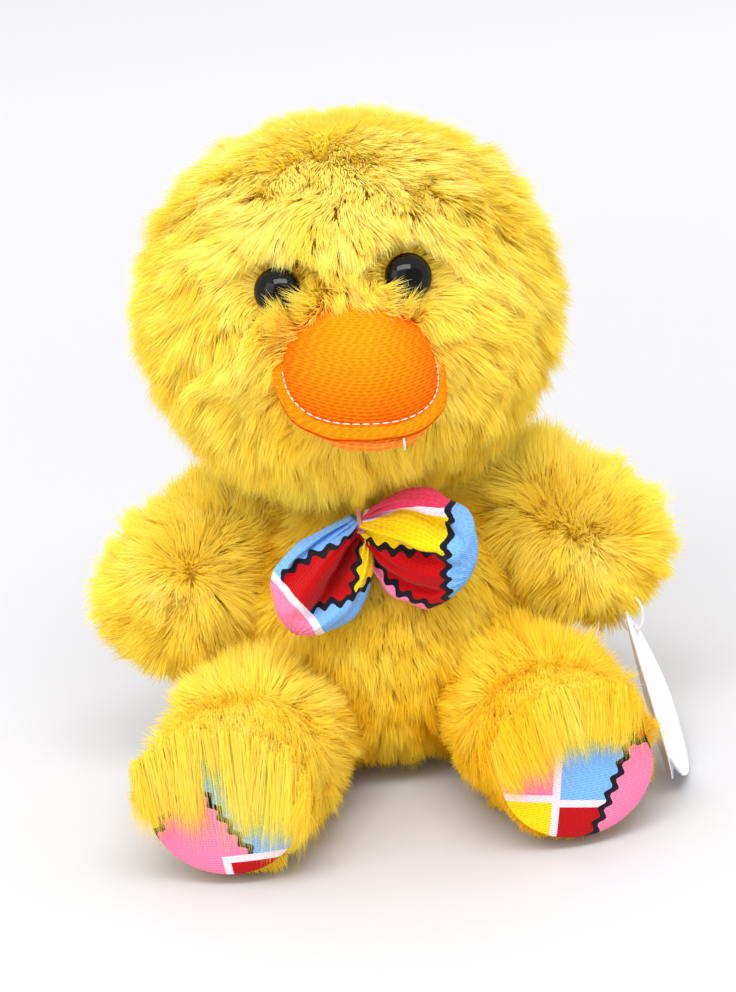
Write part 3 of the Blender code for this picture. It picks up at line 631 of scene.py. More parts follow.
def furFields(body, points, normals):
    # how thick the fur stands, which way it is combed, its length, droop and tone at each point of a backing; the tone
    # carries painted light and shade as well as tone that differs at random
    kind = formOf[body]
    count = len(points)
    f = SimpleNamespace(cover=np.ones(count), share=np.zeros(count), loose=np.ones(count),
                        pile=np.full(count, fur["pile"][kind]), fixed=np.zeros((count, 3)),
                        bend=np.zeros((count, 3)), fall=np.tile(np.array((0, 0, -0.06)), (count, 1)))
    paintedCreaseShade = np.zeros(count)
    grow, low, high = fur["meeting"]
    for other in frames:
        if other != body:
            outside = depthOutside(other, points, grow)
            f.cover *= smooth(outside, low, high)
            paintedCreaseShade = np.maximum(paintedCreaseShade, np.exp(-(np.maximum(outside, 0) / fur["paintedCreaseShade"]) ** 2))
    away = points - np.array(whorls[body])
    f.flow = away / (np.linalg.norm(away, axis=1)[:, None] + 1e-9)
    # at a whorl the fur stands up
    level = np.linalg.norm(away - along(away, normals), axis=1)
    level = level + 0.3 * np.maximum(np.linalg.norm(away, axis=1) - fur["whorlReach"], 0)
    centre = np.exp(-(level / fur["whorl"].get(kind, fur["smallWhorl"])) ** 2)
    # painted light: the tone is raised where the backing faces up, as if lit from above; the waves are tone that
    # differs at random
    f.tone = 0.62 + 0.16 * normals[:, 2] + 0.07 * waves(points, 0.020, 15) + 0.05 * waves(points, 0.007, 16)
    # painted shade: the tone is dropped in the crease where this body meets another
    f.tone += 0.22 * centre - 0.50 * paintedCreaseShade
    f.turn = sum(waves(points, size, seed) * strength for size, seed, strength in fur["turns"])
    if kind == "torso":
        f.flow = np.tile(np.array((0, 0, -1.0)), (count, 1)) + 0.35 * f.flow
        f.turn *= 0.5
        # painted shade: the torso's fur is darker, as it lies under the head's shadow
        f.tone -= 0.10
    if kind == "wing":
        f.flow = f.flow + 0.35 * np.array(frames[body].to_3x3().col[2])
        f.pile *= 1 - 0.30 * smooth(moved(points, frames[body].inverted())[:, 2], *fur["wingTip"])
    if kind == "leg":
        combLeg(f, body, points, normals)
    if kind == "head":
        combHead(f, points, normals)
    f.flow -= along(f.flow, normals)
    f.flow /= np.linalg.norm(f.flow, axis=1)[:, None] + 1e-9
    f.flow = f.flow * np.cos(f.turn)[:, None] + np.cross(normals, f.flow) * np.sin(f.turn)[:, None]
    lean = fur["tilt"] * (1 + 0.16 * waves(points, 0.022, 13)) * (1 - 0.75 * centre)
    f.cover *= 1 + 0.9 * centre
    f.pile *= (1 - 0.12 * centre) * (1 + 0.06 * waves(points, 0.018, 14))
    if kind == "head":
        f.pile *= 1 - 0.22 * smooth(points[:, 2], *face["topFrom"])
    comb = f.flow * (lean * (1 - f.share))[:, None] + f.fixed
    return {"cover": f.cover, "comb": comb, "pile": f.pile, "loose": f.loose, "fall": f.fall, "bend": f.bend,
            "tone": np.clip(f.tone, 0.03, 0.97)}


def strandShape(steps=2):
    # one strand as a narrow ribbon: its place along and across are kept as attributes
    points, faces, length, width = [], [], [], []
    for i in range(steps):
        for side in (-1, 1):
            points.append((0, 0, 0))
            length.append(i / steps)
            width.append(side * (0.6 + 0.4 * i))
    points.append((0, 0, 0))
    length.append(1.0)
    width.append(0.0)
    for i in range(steps - 1):
        faces.append((2 * i, 2 * i + 1, 2 * i + 3, 2 * i + 2))
    faces.append((2 * steps - 2, 2 * steps - 1, 2 * steps))
    mesh = bpy.data.meshes.new("strand")
    mesh.from_pydata(points, [], faces)
    addAttribute(mesh, "along", np.array(length))
    addAttribute(mesh, "across", np.array(width))
    return addObject("strand", mesh)


def newTree(name, inputs):
    tree = bpy.data.node_groups.new(name, "GeometryNodeTree")
    tree.interface.new_socket("Geometry", in_out="INPUT", socket_type="NodeSocketGeometry")
    tree.interface.new_socket("Geometry", in_out="OUTPUT", socket_type="NodeSocketGeometry")
    for label, value in inputs.items():
        kind = "NodeSocketInt" if isinstance(value, int) else "NodeSocketFloat"
        tree.interface.new_socket(label, in_out="INPUT", socket_type=kind).default_value = value
    return tree


def endTree(maker, geometry, material):
    # every tree ends in real geometry with its material
    geometry = maker.node("GeometryNodeSetMaterial", None, {"Geometry": geometry, "Material": material})
    maker.node("NodeGroupOutput", None, {"Geometry": geometry})


furInputs = {"Density": float(fur["density"]), "Seed": 1, "Strand Width": fur["width"],
             "Clump Density": float(fur["clumpDensity"]), "Clump Pull": fur["clumpPull"],
             "Clump Wave": fur["clumpWave"], "Strand Wave": fur["strandWave"], "Lowest": fur["lowest"]}
helpers = ("rise", "sweep", "drift", "side", "drop", "arch", "bend", "shade", "along", "across", "cover", "comb",
           "pile", "fall", "tone", "loose")


def furTree(material):
    tree = newTree("furStrands", furInputs)
    tree.interface.new_socket("Strand", in_out="INPUT", socket_type="NodeSocketObject")
    maker = NodeMaker(tree)
    given = maker.node("NodeGroupInput")
    scaled = maker.scaled

    def plus(a, b):
        return maker.vector("ADD", a, b)

    def named(name, kind="FLOAT"):
        return maker.node("GeometryNodeInputNamedAttribute", {"data_type": kind}, {"Name": name})

    def arrow(name):
        return named(name, "FLOAT_VECTOR")

    def chance(low, high, seed, kind="FLOAT"):
        return maker.node("FunctionNodeRandomValue", {"data_type": kind}, {"Min": low, "Max": high, "Seed": seed})

    def keep(geometry, name, value, kind="FLOAT", domain="POINT"):
        settings = {"data_type": kind, "domain": domain}
        inputs = {"Geometry": geometry, "Name": name, "Value": value}
        return maker.node("GeometryNodeStoreNamedAttribute", settings, inputs)

    def scatter(density, seed):
        return maker.node("GeometryNodeDistributePointsOnFaces", None,
                          {"Mesh": given, "Density": density * named("cover"), "Seed": seed})

    roots = scatter(given.other("Density"), given.other("Seed"))
    clumps = scatter(given.other("Clump Density"), given.other("Seed") + 7)
    place = maker.node("GeometryNodeInputPosition")
    nearest = maker.node("GeometryNodeSampleNearest", None, {"Geometry": clumps, "Sample Position": place})

    def fromClump(value, kind="FLOAT_VECTOR"):
        inputs = {"Geometry": clumps, "Value": value, "Index": nearest}
        return maker.node("GeometryNodeSampleIndex", {"data_type": kind}, inputs)

    def anyWay(seed):
        return chance((-1.0, -1.0, -1.0), (1.0, 1.0, 1.0), seed, "FLOAT_VECTOR")

    normal = roots.other("Normal")
    length = named("pile") * chance(0.78, 1.12, 3)
    toClump = maker.vector("SUBTRACT", fromClump(place), place)
    waver = scaled(fromClump(anyWay(5)), length * given.other("Clump Wave"))
    jitter = scaled(anyWay(6), length * given.other("Strand Wave"))
    drift = scaled(plus(scaled(toClump, given.other("Clump Pull")), plus(waver, jitter)), named("loose"))
    rise = scaled(normal, length)
    sweep = scaled(arrow("comb"), length)
    reach = maker.vector("NORMALIZE", plus(plus(rise, sweep), drift))
    flat = maker.vector("NORMALIZE", maker.vector("CROSS_PRODUCT", reach, normal))
    turned = maker.vector("CROSS_PRODUCT", flat, reach)
    side = maker.vector("NORMALIZE", plus(flat, scaled(turned, chance(-0.6, 0.6, 8))))
    side = scaled(side, given.other("Strand Width") * chance(0.35, 0.65, 9))
    shade = named("tone") + fromClump(chance(-0.07, 0.07, 4), "FLOAT") + chance(-0.06, 0.06, 2)

    points = roots
    for name, value in (("rise", rise), ("sweep", sweep), ("drift", drift), ("side", side),
                        ("drop", scaled(arrow("fall"), length)), ("arch", scaled(arrow("bend"), length))):
        points = keep(points, name, value, "FLOAT_VECTOR")
    points = keep(points, "shade", shade.most(0.02).least(0.98))
    strand = maker.node("GeometryNodeObjectInfo", None, {"Object": given.other("Strand")}, output="Geometry")
    strands = maker.node("GeometryNodeInstanceOnPoints", None, {"Points": points, "Instance": strand})
    strands = maker.node("GeometryNodeRealizeInstances", None, {"Geometry": strands})
    far = named("along")
    path = place
    for name, share in (("rise", far - far * far * 0.25), ("sweep", far * 0.25 + far * far * 0.60),
                        ("drift", far ** 1.6), ("drop", far * far), ("arch", (1.0 - far) * far * 4.0),
                        ("side", named("across"))):
        path = plus(path, scaled(arrow(name), share))
    parts = maker.node("ShaderNodeSeparateXYZ", None, {0: path})
    height = parts.other("Z").most(given.other("Lowest"))
    path = maker.node("ShaderNodeCombineXYZ", None, {0: parts, 1: parts.other("Y"), 2: height})
    strands = maker.node("GeometryNodeSetPosition", None, {"Geometry": strands, "Position": path})
    tint = named("shade") + named("across") * 0.004
    spot = maker.node("ShaderNodeCombineXYZ", None, {0: tint, 1: far * 0.96 + 0.02, 2: 0.0})
    endTree(maker, keep(strands, "OFBake", spot, "FLOAT2", "CORNER"), material)
    return tree


def furMaterial():
    # across the map runs the tone with its painted light and shade, up it runs the strand from root to tip
    finish, maker, shader = newMaterial("furPile", Roughness=0.85, Specular_IOR_Level=0.12)
    parts = maker.onMap("OFBake")
    tips = maker.ramp(parts, (0.0, rgb(246, 180, 10)), (0.22, rgb(255, 212, 40)), (0.50, rgb(255, 235, 90)),
                      (0.78, rgb(255, 246, 128)), (1.0, rgb(255, 252, 176)))
    # painted shade: the roots are a deeper orange than the tips, for the light that bounces down in the pile
    roots = maker.ramp(parts, (0.0, rgb(242, 158, 0)), (0.30, rgb(255, 208, 28)), (0.60, rgb(255, 231, 66)),
                       (1.0, rgb(255, 244, 108)))
    pile = maker.mix(maker.remap(parts.other("Y"), 0.10, 0.80), roots, tips)
    maker.link(pile, shader.inputs["Base Color"])
    # thin fibres let some light through
    through = maker.node("ShaderNodeBsdfTranslucent", None, {"Color": rgb(255, 237, 92)})
    both = maker.node("ShaderNodeMixShader", None, {0: fur["glow"], 1: Wire(maker, shader.outputs[0]), 2: through})
    maker.link(both, finish.node_tree.nodes["Material Output"].inputs["Surface"])
    return finish


def backingMaterial():
    finish, maker, shader = newMaterial("furBacking", Roughness=0.95)
    place = maker.place()
    blotch = maker.mix(maker.noise(place, 260.0), rgb(250, 196, 30), rgb(255, 222, 60))
    maker.link(blotch, shader.inputs["Base Color"])
    bumpInto(maker, shader, maker.noise(place, 1500.0), 0.0006)
    return finish


def splitRegions(body, points):
    # which of the body's fur pieces a face of the backing belongs to
    if body == "head":
        return (points[:, 1] < -0.012) * 4 + (points[:, 0] > 0) * 2 + (points[:, 2] > 0.166) * 1
    if body == "torso":
        return (points[:, 1] < 0) * 2 + (points[:, 0] > 0) * 1
    return (points[:, 1] < np.median(points[:, 1])) * 1


def growFur(body, skin, tree, strand):
    mesh = skin.data
    fields = furFields(body, meshPoints(mesh), vertexNormals(mesh))
    centres = np.zeros(len(mesh.polygons) * 3)
    mesh.polygons.foreach_get("center", centres)
    region = splitRegions(body, centres.reshape(-1, 3))
    made = []
    for number in sorted(set(region.tolist())):
        bed = addObject("bed", mesh.copy())
        for name, values in fields.items():
            addAttribute(bed.data, name, values)
        work = bmesh.new()
        work.from_mesh(bed.data)
        work.faces.ensure_lookup_table()
        gone = [work.faces[i] for i in np.nonzero(region != number)[0]]
        bmesh.ops.delete(work, geom=gone, context="FACES")
        work.to_mesh(bed.data)
        work.free()
        step = bed.modifiers.new("fur", "NODES")
        step.node_group = tree
        given = {"Seed": 31 + number, "Strand": strand}
        for item in tree.interface.items_tree:
            if item.item_type == "SOCKET" and item.in_out == "INPUT" and item.name in given:
                step[item.identifier] = given[item.name]
        name = body + "_fur" + str(number)
        grown = evaluated(bed, name)
        for helper in helpers:
            if helper in grown.attributes:
                grown.attributes.remove(grown.attributes[helper])
        made.append(addObject(name, grown))
    return made


backingFinish = backingMaterial()
strand = strandShape()
tree = furTree(furMaterial())
total = 0
for body in frames:
    mesh = backingMesh(body)
    mesh.materials.append(backingFinish)
    skin = addObject(body + "_backing", mesh)
    tufts = growFur(body, skin, tree, strand)
    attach(skin, body)
    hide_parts(body + "_skin")
    for tuft in tufts:
        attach(tuft, body)
        total += sum(len(p.vertices) - 2 for p in tuft.data.polygons)
bpy.data.objects.remove(strand)
print("fur grown, triangles:", total)


def billSpot(width, reach, turn, share):
    if 0 < share < 1:   # the dome comes nearer to the edge at the corners than in front
        nearer = min(share / bill["puff"], (1 - share) / (1 - bill["puff"]))
        share += bill["widen"] * abs(math.cos(turn)) ** 3 * nearer
    across = math.copysign(abs(math.cos(turn)) ** bill["square"], math.cos(turn))
    ahead = math.copysign(abs(math.sin(turn)) ** bill["square"], math.sin(turn))
    return width / 2 * share * across, min(-reach * share * ahead, bill["back"])


def billMesh(name, width, reach, profile, aside):
    # rings of (share of the way out, height), from the middle of the top to the middle of the underside
    turns = [math.tau * i / bill["sides"] for i in range(bill["sides"])]
    mesh = gridMesh(name, [[(*billSpot(width, reach, turn, share), height) for turn in turns]
                           for share, height in profile])
    local = meshPoints(mesh)
    down = -local[:, 1] * 0.9 - local[:, 2] * 0.8 + 18 * local[:, 0] ** 2
    setMap(mesh, "Knit", np.stack([local[:, 0], down], axis=1) * mapScale)
    across = np.abs(local[:, 0]) / (width / 2)
    ahead = np.abs(local[:, 1]) / reach
    out = (across ** (2 / bill["square"]) + ahead ** (2 / bill["square"])) ** (bill["square"] / 2)
    addAttribute(mesh, "edge", out)
    local += vertexNormals(mesh) * (waves(local, bill["wrinkleSize"], 41) * bill["wrinkle"])[:, None]
    # the line along the rim where the top cloth meets the lining
    addAttribute(mesh, "seam", np.exp(-((local[:, 2] - bill["seam"]) / bill["seamWide"]) ** 2) * (out > 0.95))
    local[:, 0] += aside
    setPoints(mesh, moved(local, billFrame()))
    return mesh


def knitHeight(maker, along, across, wale):
    # rows of small slanting stitches: along runs with a wale, across over the wales
    rows = across / wale
    row = maker.maths("FLOOR", rows + 0.5)
    column = rows - row
    stitch = maker.maths("FRACT", along / (wale * 2.2) + (row * 12.99).sine() * 4.37 + column * 0.2) - 0.5
    return 1.0 - (1.0 - column * column * 4.0) ** 1.5 * (0.20 + 0.80 * (1.0 - stitch * stitch * 4.0))


def billMaterial(name, deep, fair, seam):
    finish, maker, shader = newMaterial(name, Roughness=0.92, Specular_IOR_Level=0.06)
    spot = maker.onMap("Knit")
    place = maker.place()
    wander = maker.noise(place, 90.0, 2.0) * 0.006
    height = knitHeight(maker, spot, spot.other("Y") + wander, bill["wale"] * mapScale)
    out = maker.onPoints("edge")
    # painted shade: the orange deepens towards the dome's edge and lower down, where the dome turns from the light; the
    # noise is tone that differs at random, and the brim outside the stitching stays paler
    tint = (maker.remap(out, 0.25, 1.0) * 0.55 + maker.remap(spot.other("Y"), 0.05, 0.32) * 0.35
            + maker.noise(place, 60.0) * 0.25 - 0.10).least(1.0).most(0.0)
    brim = (out - 0.868).most(0.0) * 40.0
    shade = maker.ramp(tint * (1.0 - brim.least(0.75)), (0.0, fair), (1.0, deep))
    # painted shade: the gaps between stitches are darkened, besides their bump
    shade = maker.mix((1.0 - height) * 0.66, shade, (0.88, 0.42, 0.10), "MULTIPLY")
    if seam:
        shade = maker.mix(maker.onPoints("seam"), shade, rgb(196, 44, 6))
    maker.link(shade, shader.inputs["Base Color"])
    bumpInto(maker, shader, height, 0.00034)
    return finish


upperProfile = []
for i in range(1, 31):
    step = math.sin(math.pi / 2 * i / 30)
    low = bill["puffRise"] - bill["puffDip"]
    rise = (bill["rise"] + bill["puffDip"] - bill["puffRise"]) * (1 - step ** 2) ** bill["full"]
    upperProfile.append((bill["puff"] * step, low + rise))
upperProfile += bill["rim"]
lowerProfile = list(bill["lining"])
for i in range(1, 26):
    share = math.cos(math.pi / 2 * i / 26)
    deep = (bill["lowerDeep"] - bill["lowerRim"]) * (1 - share ** 2) ** 0.55
    lowerProfile.append((share, -bill["lowerRim"] - deep))
orangeKnit = billMaterial("orangeKnit", rgb(248, 82, 0), rgb(255, 142, 10), True)
liningKnit = billMaterial("paleOrangeKnit", rgb(254, 140, 40), rgb(255, 162, 66), False)
for name, width, reach, profile, aside, finish in (
        ("bill_upper", bill["width"], bill["reach"], upperProfile, 0.0, orangeKnit),
        ("bill_lower", bill["lowerWidth"], bill["lowerReach"], lowerProfile, bill["lowerSide"], liningKnit)):
    mesh = billMesh(name + "_padded", width, reach, profile, aside)
    mesh.materials.append(finish)
    piece = addObject(name + "_padded", mesh)
    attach(piece, "head")
    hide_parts(name)


stitch = {"radius": 0.00021, "pitch": 0.0030, "length": 0.0025, "share": 0.8485, "start": -10, "end": 177,
          "steps": 80, "lift": 0.0001, "looseRadius": 0.00035,
          "loose": [(0.0105, -0.0300, 0.0016), (0.0107, -0.0310, 0.0009), (0.0109, -0.0316, -0.0010),
                    (0.0113, -0.0319, -0.0034)]}


def threadMaterial(name, color):
    finish, maker, shader = newMaterial(name, Roughness=0.75)
    twist = maker.node("ShaderNodeTexWave", None, {"Vector": maker.place(), "Scale": 900.0, "Distortion": 2.0})
    twist = twist.other("Fac")
    maker.link(maker.ramp(twist, (0.0, darker(color, 0.78)), (1.0, color)), shader.inputs["Base Color"])
    bumpInto(maker, shader, twist, 0.0001)
    return finish


def tube(name, points, radius, sides=10, closed=False):
    # a round thread through points
    points = [Vector(p) for p in points]
    rings = []
    count = len(points)
    side = None
    for i, point in enumerate(points):
        before = points[i - 1] if closed or i else point
        after = points[(i + 1) % count] if closed or i + 1 < count else point
        ahead = (after - before).normalized()
        side = ahead.orthogonal() if side is None else side - side.dot(ahead) * ahead
        side.normalize()
        up = ahead.cross(side)
        turns = [math.tau * j / sides for j in range(sides)]
        rings.append([tuple(point + (side * math.cos(t) + up * math.sin(t)) * radius) for t in turns])
    if not closed:
        return gridMesh(name, rings)
    near = min(range(sides), key=lambda k: (Vector(rings[0][k]) - Vector(rings[-1][0])).length)
    faces = []
    for i in range(count):
        n = (i + 1) % count
        slip = near if n == 0 else 0
        for j in range(sides):
            k = (j + 1) % sides
            faces.append((i * sides + j, i * sides + k, n * sides + (k + slip) % sides, n * sides + (j + slip) % sides))
    return cleanMesh(name, [p for ring in rings for p in ring], faces)


def stitchTree(material):
    # dashes laid along a path, each turned to follow it
    tree = newTree("topstitchRow", {"Pitch": stitch["pitch"], "Length": stitch["length"], "Radius": stitch["radius"]})
    maker = NodeMaker(tree)
    given = maker.node("NodeGroupInput")
    path = maker.node("GeometryNodeMeshToCurve", None, {"Mesh": given})
    row = maker.node("GeometryNodeCurveToPoints", {"mode": "LENGTH"}, {"Curve": path, "Length": given.other("Pitch")})
    ball = maker.node("GeometryNodeMeshUVSphere", None, {"Segments": 8, "Rings": 7, "Radius": 1.0})
    round, half = given.other("Radius"), given.other("Length") * 0.5
    size = maker.node("ShaderNodeCombineXYZ", None, {0: round, 1: round, 2: half})
    dash = maker.node("GeometryNodeTransform", None, {"Geometry": ball, "Scale": size})
    turn = row.other("Rotation")
    row = maker.node("GeometryNodeInstanceOnPoints", None, {"Points": row, "Instance": dash, "Rotation": turn})
    endTree(maker, maker.node("GeometryNodeRealizeInstances", None, {"Geometry": row}), material)
    return tree


def joinMeshes(name, meshes, material):
    work = bmesh.new()
    for mesh in meshes:
        work.from_mesh(mesh)
    made = bpy.data.meshes.new(name)
    work.to_mesh(made)
    work.free()
    made.shade_smooth()
    made.materials.clear()
    made.materials.append(material)
    return made


whiteThread = threadMaterial("whiteThread", rgb(250, 246, 236))
pinkThread = threadMaterial("pinkThread", rgb(205, 138, 128))
path = []
start, end = math.radians(stitch["start"]), math.radians(stitch["end"] - stitch["start"])
for i in range(stitch["steps"] + 1):
    x, y = billSpot(bill["width"], bill["reach"], start + end * i / stitch["steps"], stitch["share"])
    path.append(billFrame() @ Vector((x, y, bill["puffRise"] + stitch["lift"])))
line = bpy.data.meshes.new("stitchLine")
line.from_pydata(path, [(i, i + 1) for i in range(len(path) - 1)], [])
row = addObject("stitchLine", line)
row.modifiers.new("stitches", "NODES").node_group = stitchTree(whiteThread)
dashes = evaluated(row, "dashes")
loose = tube("looseEnd", [billFrame() @ Vector(p) for p in stitch["loose"]], stitch["looseRadius"])
topstitch = addObject("bill_stitches", joinMeshes("bill_stitches", [dashes, loose], whiteThread))
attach(topstitch, "head")
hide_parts("bill_topstitch")
print("bill made")


def eyeMaterial(name, shift):
    finish, maker, shader = newMaterial(name, Roughness=0.06, Specular_IOR_Level=0.18)
    x = maker.onMap("Dome")
    y = x.other("Y")
    out = (x * x + y * y) ** 0.5
    px, py = x - shift[0], y - shift[1]
    pupil = (px * px + py * py) ** 0.5
    iris = maker.remap(out, eye["iris"] - 0.06, eye["iris"] + 0.04, 1.0, 0.0)
    inner = maker.remap(pupil, eye["pupil"] - 0.03, eye["pupil"] + 0.05)
    color = maker.mix(maker.remap(pupil, 0.45, 1.1), rgb(22, 20, 20), rgb(8, 8, 8))
    maker.link(maker.mix(iris * inner, (0.0, 0.0, 0.0), color), shader.inputs["Base Color"])
    return finish


def eyeProfile():
    # from the tip of the shank, along the flat back and over the rim to the top of the dome
    radius, shank, back = eye["diameter"] / 2, eye["shank"] / 2, -eye["sink"]
    tip = -eye["shankLength"] + back
    profile = [(shank * 0.6, tip), (shank, tip + eye["shankTip"]), (shank, back - eye["neck"]),
               (shank + eye["bevel"], back), (radius - eye["bevel"], back), (radius, eye["bevel"] + back),
               (radius, eye["rim"] + back)]
    for i in range(1, eye["steps"]):
        turn = math.pi / 2 * i / eye["steps"]
        rise = eye["rim"] + (eye["dome"] - eye["rim"]) * math.sin(turn)
        profile.append((radius * math.cos(turn), rise + back))
    return profile


for side, word in sides.items():
    name = "eye_" + word + "_dome"
    mesh = gridMesh(name, [oval(size, size, height, eye["sides"]) for size, height in eyeProfile()])
    local = meshPoints(mesh)
    setMap(mesh, "Dome", local[:, :2] / (eye["diameter"] / 2))
    setPoints(mesh, moved(local, eyeFrame(side)))
    mesh.materials.append(eyeMaterial("glossyEye_" + word, eye["pupilShift"][side]))
    dome = addObject(name, mesh)
    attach(dome, "head")
    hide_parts("eye_" + word)
print("eyes made")


knit = {"wale": 0.00088, "wave": 0.0009, "waveLength": 0.0054, "black": 0.00125, "white": 0.0013, "sharp": 900.0}
yarn = {"blue": rgb(120, 178, 246), "pink": rgb(252, 128, 168), "yellow": rgb(254, 216, 8), "red": rgb(186, 0, 6),
        "white": rgb(246, 226, 240), "black": rgb(24, 22, 32), "rose": rgb(226, 62, 96)}
# a print is its ground and the patches on it, each with its hue, edge, and cuts as (angle, offset in metres, wavy)
prints = {
    "sole_left": ("blue", [("pink", "white", [(100, 0.0070, False)]),
                           ("red", "white", [(12, 0.0105, False), (-78, -0.008, False)]),
                           ("yellow", "white", [(12, 0.0090, False), (100, 0.0070, False)]),
                           ("pink", "black", [(-62, 0.0125, True)]), ("red", "black", [(-150, 0.0165, True)])]),
    "sole_right": ("blue", [("pink", "black", [(-58, 0.0010, True)]),
                            ("red", "white", [(5, 0.0170, False), (95, -0.002, False)]),
                            ("yellow", "black", [(-118, 0.0165, True)])]),
    "bow_left": ("yellow", [("red", "black", [(-160, 0.0065, True)]), ("pink", "black", [(172, 0.0125, True)]),
                            ("rose", "white", [(18, 0.0085, False)]), ("blue", "black", [(-72, 0.0300, True)]),
                            ("blue", "white", [(65, 0.0080, False)])]),
    "bow_right": ("red", [("yellow", "black", [(165, 0.0045, True)]), ("blue", "black", [(-135, 0.0235, True)]),
                          ("blue", "black", [(24, 0.0045, True)]), ("pink", "white", [(-76, 0.0335, False)])]),
}


def printMaterial(name):
    # flat patches laid over each other, each bounded by straight cuts; a cut has a wavy black or a plain white edge
    finish, maker, shader = newMaterial("knitPrint_" + name, Roughness=0.9, Specular_IOR_Level=0.15,
                                        Sheen_Weight=0.08, Sheen_Roughness=0.5)
    spot = maker.onMap("Knit")
    place = maker.place()
    height = knitHeight(maker, spot, spot.other("Y"), knit["wale"] * mapScale)
    ragged = (height - 0.5) * 0.0012
    x, y = spot + ragged, spot.other("Y") + ragged
    ground, patches = prints[name]
    color = yarn[ground]
    for hue, edge, cuts in patches:
        inside = None
        for angle, offset, wavy in cuts:
            c, s = math.cos(math.radians(angle)), math.sin(math.radians(angle))
            along, depth = x * c + y * s, y * c - x * s - offset * mapScale
            if wavy:
                swing = (along * (math.tau / knit["waveLength"] / mapScale)).sine()
                depth = depth + swing * (knit["wave"] * mapScale)
            inside = depth if inside is None else inside.least(depth)
        color = maker.mix((inside * knit["sharp"]).least(1.0).most(0.0), color, yarn[hue])
        band = ((knit[edge] * mapScale - inside.absolute()) * knit["sharp"]).least(1.0).most(0.0)
        color = maker.mix(band, color, yarn[edge])
    # painted shade: the gaps between stitches are darkened, besides their bump; the noise is tone that differs at
    # random
    deep = (1.0 - height) * 0.5 + maker.noise(place, 700.0) * 0.16
    maker.link(maker.mix(deep, color, (0.62, 0.58, 0.60), "MULTIPLY"), shader.inputs["Base Color"])
    bumpInto(maker, shader, height, 0.0002, 0.8)
    return finish


for side, word in sides.items():
    profile = []
    for i in range(sole["rings"]):
        share = math.sin(math.pi / 2 * (i + 0.5) / sole["rings"])
        profile.append((share, sole["belly"] * (1 - share ** 2.4) ** 0.6 + sole["edge"]))
    rings = [oval(sole["width"] / 2 * share, sole["height"] / 2 * share, height, sole["sides"])
             for share, height in profile + sole["rim"]]
    mesh = gridMesh("sole_" + word + "_knit", rings)
    local = meshPoints(mesh)
    setMap(mesh, "Knit", local[:, :2] * (mapScale, -mapScale * side))
    points = moved(local, soleFrame(side))
    points[:, 2] = np.maximum(points[:, 2], sole["lowest"])
    setPoints(mesh, points)
    mesh.materials.append(printMaterial("sole_" + word))
    patch = addObject("sole_" + word + "_knit", mesh)
    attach(patch, "leg_" + word)
    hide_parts("sole_" + word)
print("soles made")


bow = {"centre": (-0.0035, -0.0419, 0.1025), "lean": 12, "thickness": 0.0155, "around": 144, "along": 80,
       "waistDeep": 0.0058, "pleats": 9, "pleatDepth": 0.0022, "thinnest": 0.0002, "narrowest": 0.0006,
       "mapWidth": 0.020, "mapNarrowest": 0.002, "wrinkle": 0.0004, "wrinkleSize": 0.012}
# half width over and under the lobe's middle line, at even steps from the gather outwards, and its folds as
# (place near the gather, place at the end, depth, width)
lobes = {
    1: {"length": 0.0400, "droop": 27,
        "over": (0.0040, 0.0112, 0.0166, 0.0191, 0.0198, 0.0192, 0.0180, 0.0166, 0.0150),
        "under": (0.0040, 0.0085, 0.0140, 0.0178, 0.0196, 0.0198, 0.0188, 0.0172, 0.0150),
        "folds": ((0.16, 0.36, 0.0066, 0.14), (-0.34, -0.16, 0.0028, 0.28), (0.52, 0.64, -0.0070, 0.10),
                  (-0.74, -0.52, -0.0062, 0.11), (0.86, 0.88, 0.0026, 0.16), (0.05, -0.02, -0.0046, 0.09))},
    -1: {"length": 0.0430, "droop": 52,
         "over": (0.0040, 0.0075, 0.0110, 0.0140, 0.0158, 0.0162, 0.0152, 0.0130, 0.0104),
         "under": (0.0040, 0.0078, 0.0115, 0.0138, 0.0150, 0.0146, 0.0128, 0.0098, 0.0060),
         "folds": ((0.34, 0.36, 0.0056, 0.16), (-0.12, -0.08, -0.0092, 0.17), (-0.58, -0.55, 0.0048, 0.16),
                   (0.76, 0.66, -0.0050, 0.11), (0.06, 0.12, 0.0030, 0.07))},
}
thread = {"turns": 2, "steps": 96, "drift": 0.0006, "deep": 0.0064, "high": 0.0046, "radius": 0.00045,
          "knotTurns": 1.5, "knotSteps": 24, "knotWide": 0.0011, "knotDeep": 0.0072, "knotWave": 0.0004,
          "knotHigh": 0.0008, "knotRadius": 0.0006}


def lobeFrame(side):
    droop, lean = math.radians(lobes[side]["droop"]), math.radians(bow["lean"])
    return looking(bow["centre"], *drooping(side, droop, lean))


def tableAt(table, place):
    # a value of a table at a share of its length, on a smooth curve through its entries
    last = len(table) - 1
    i = min(int(place * last), last - 1)
    t = place * last - i
    a, b, c, d = table[max(i - 1, 0)], table[i], table[i + 1], table[min(i + 2, last)]
    return b + 0.5 * t * (c - a + t * (2 * a - 5 * b + 4 * c - d + t * (3 * b - 3 * c + d - a)))


def foldPush(shape, place, q):
    # how far the folds push the front of a lobe out
    push = 0.0
    fade = math.sin(math.pi * min(1.0, place * 1.15)) ** 0.6
    for near, far, depth, wide in shape["folds"]:
        middle = near + (far - near) * place
        rise = math.exp(-((q - middle) / wide) ** 2)
        push += depth * rise * fade * (1 - 0.35 * place)
    return push


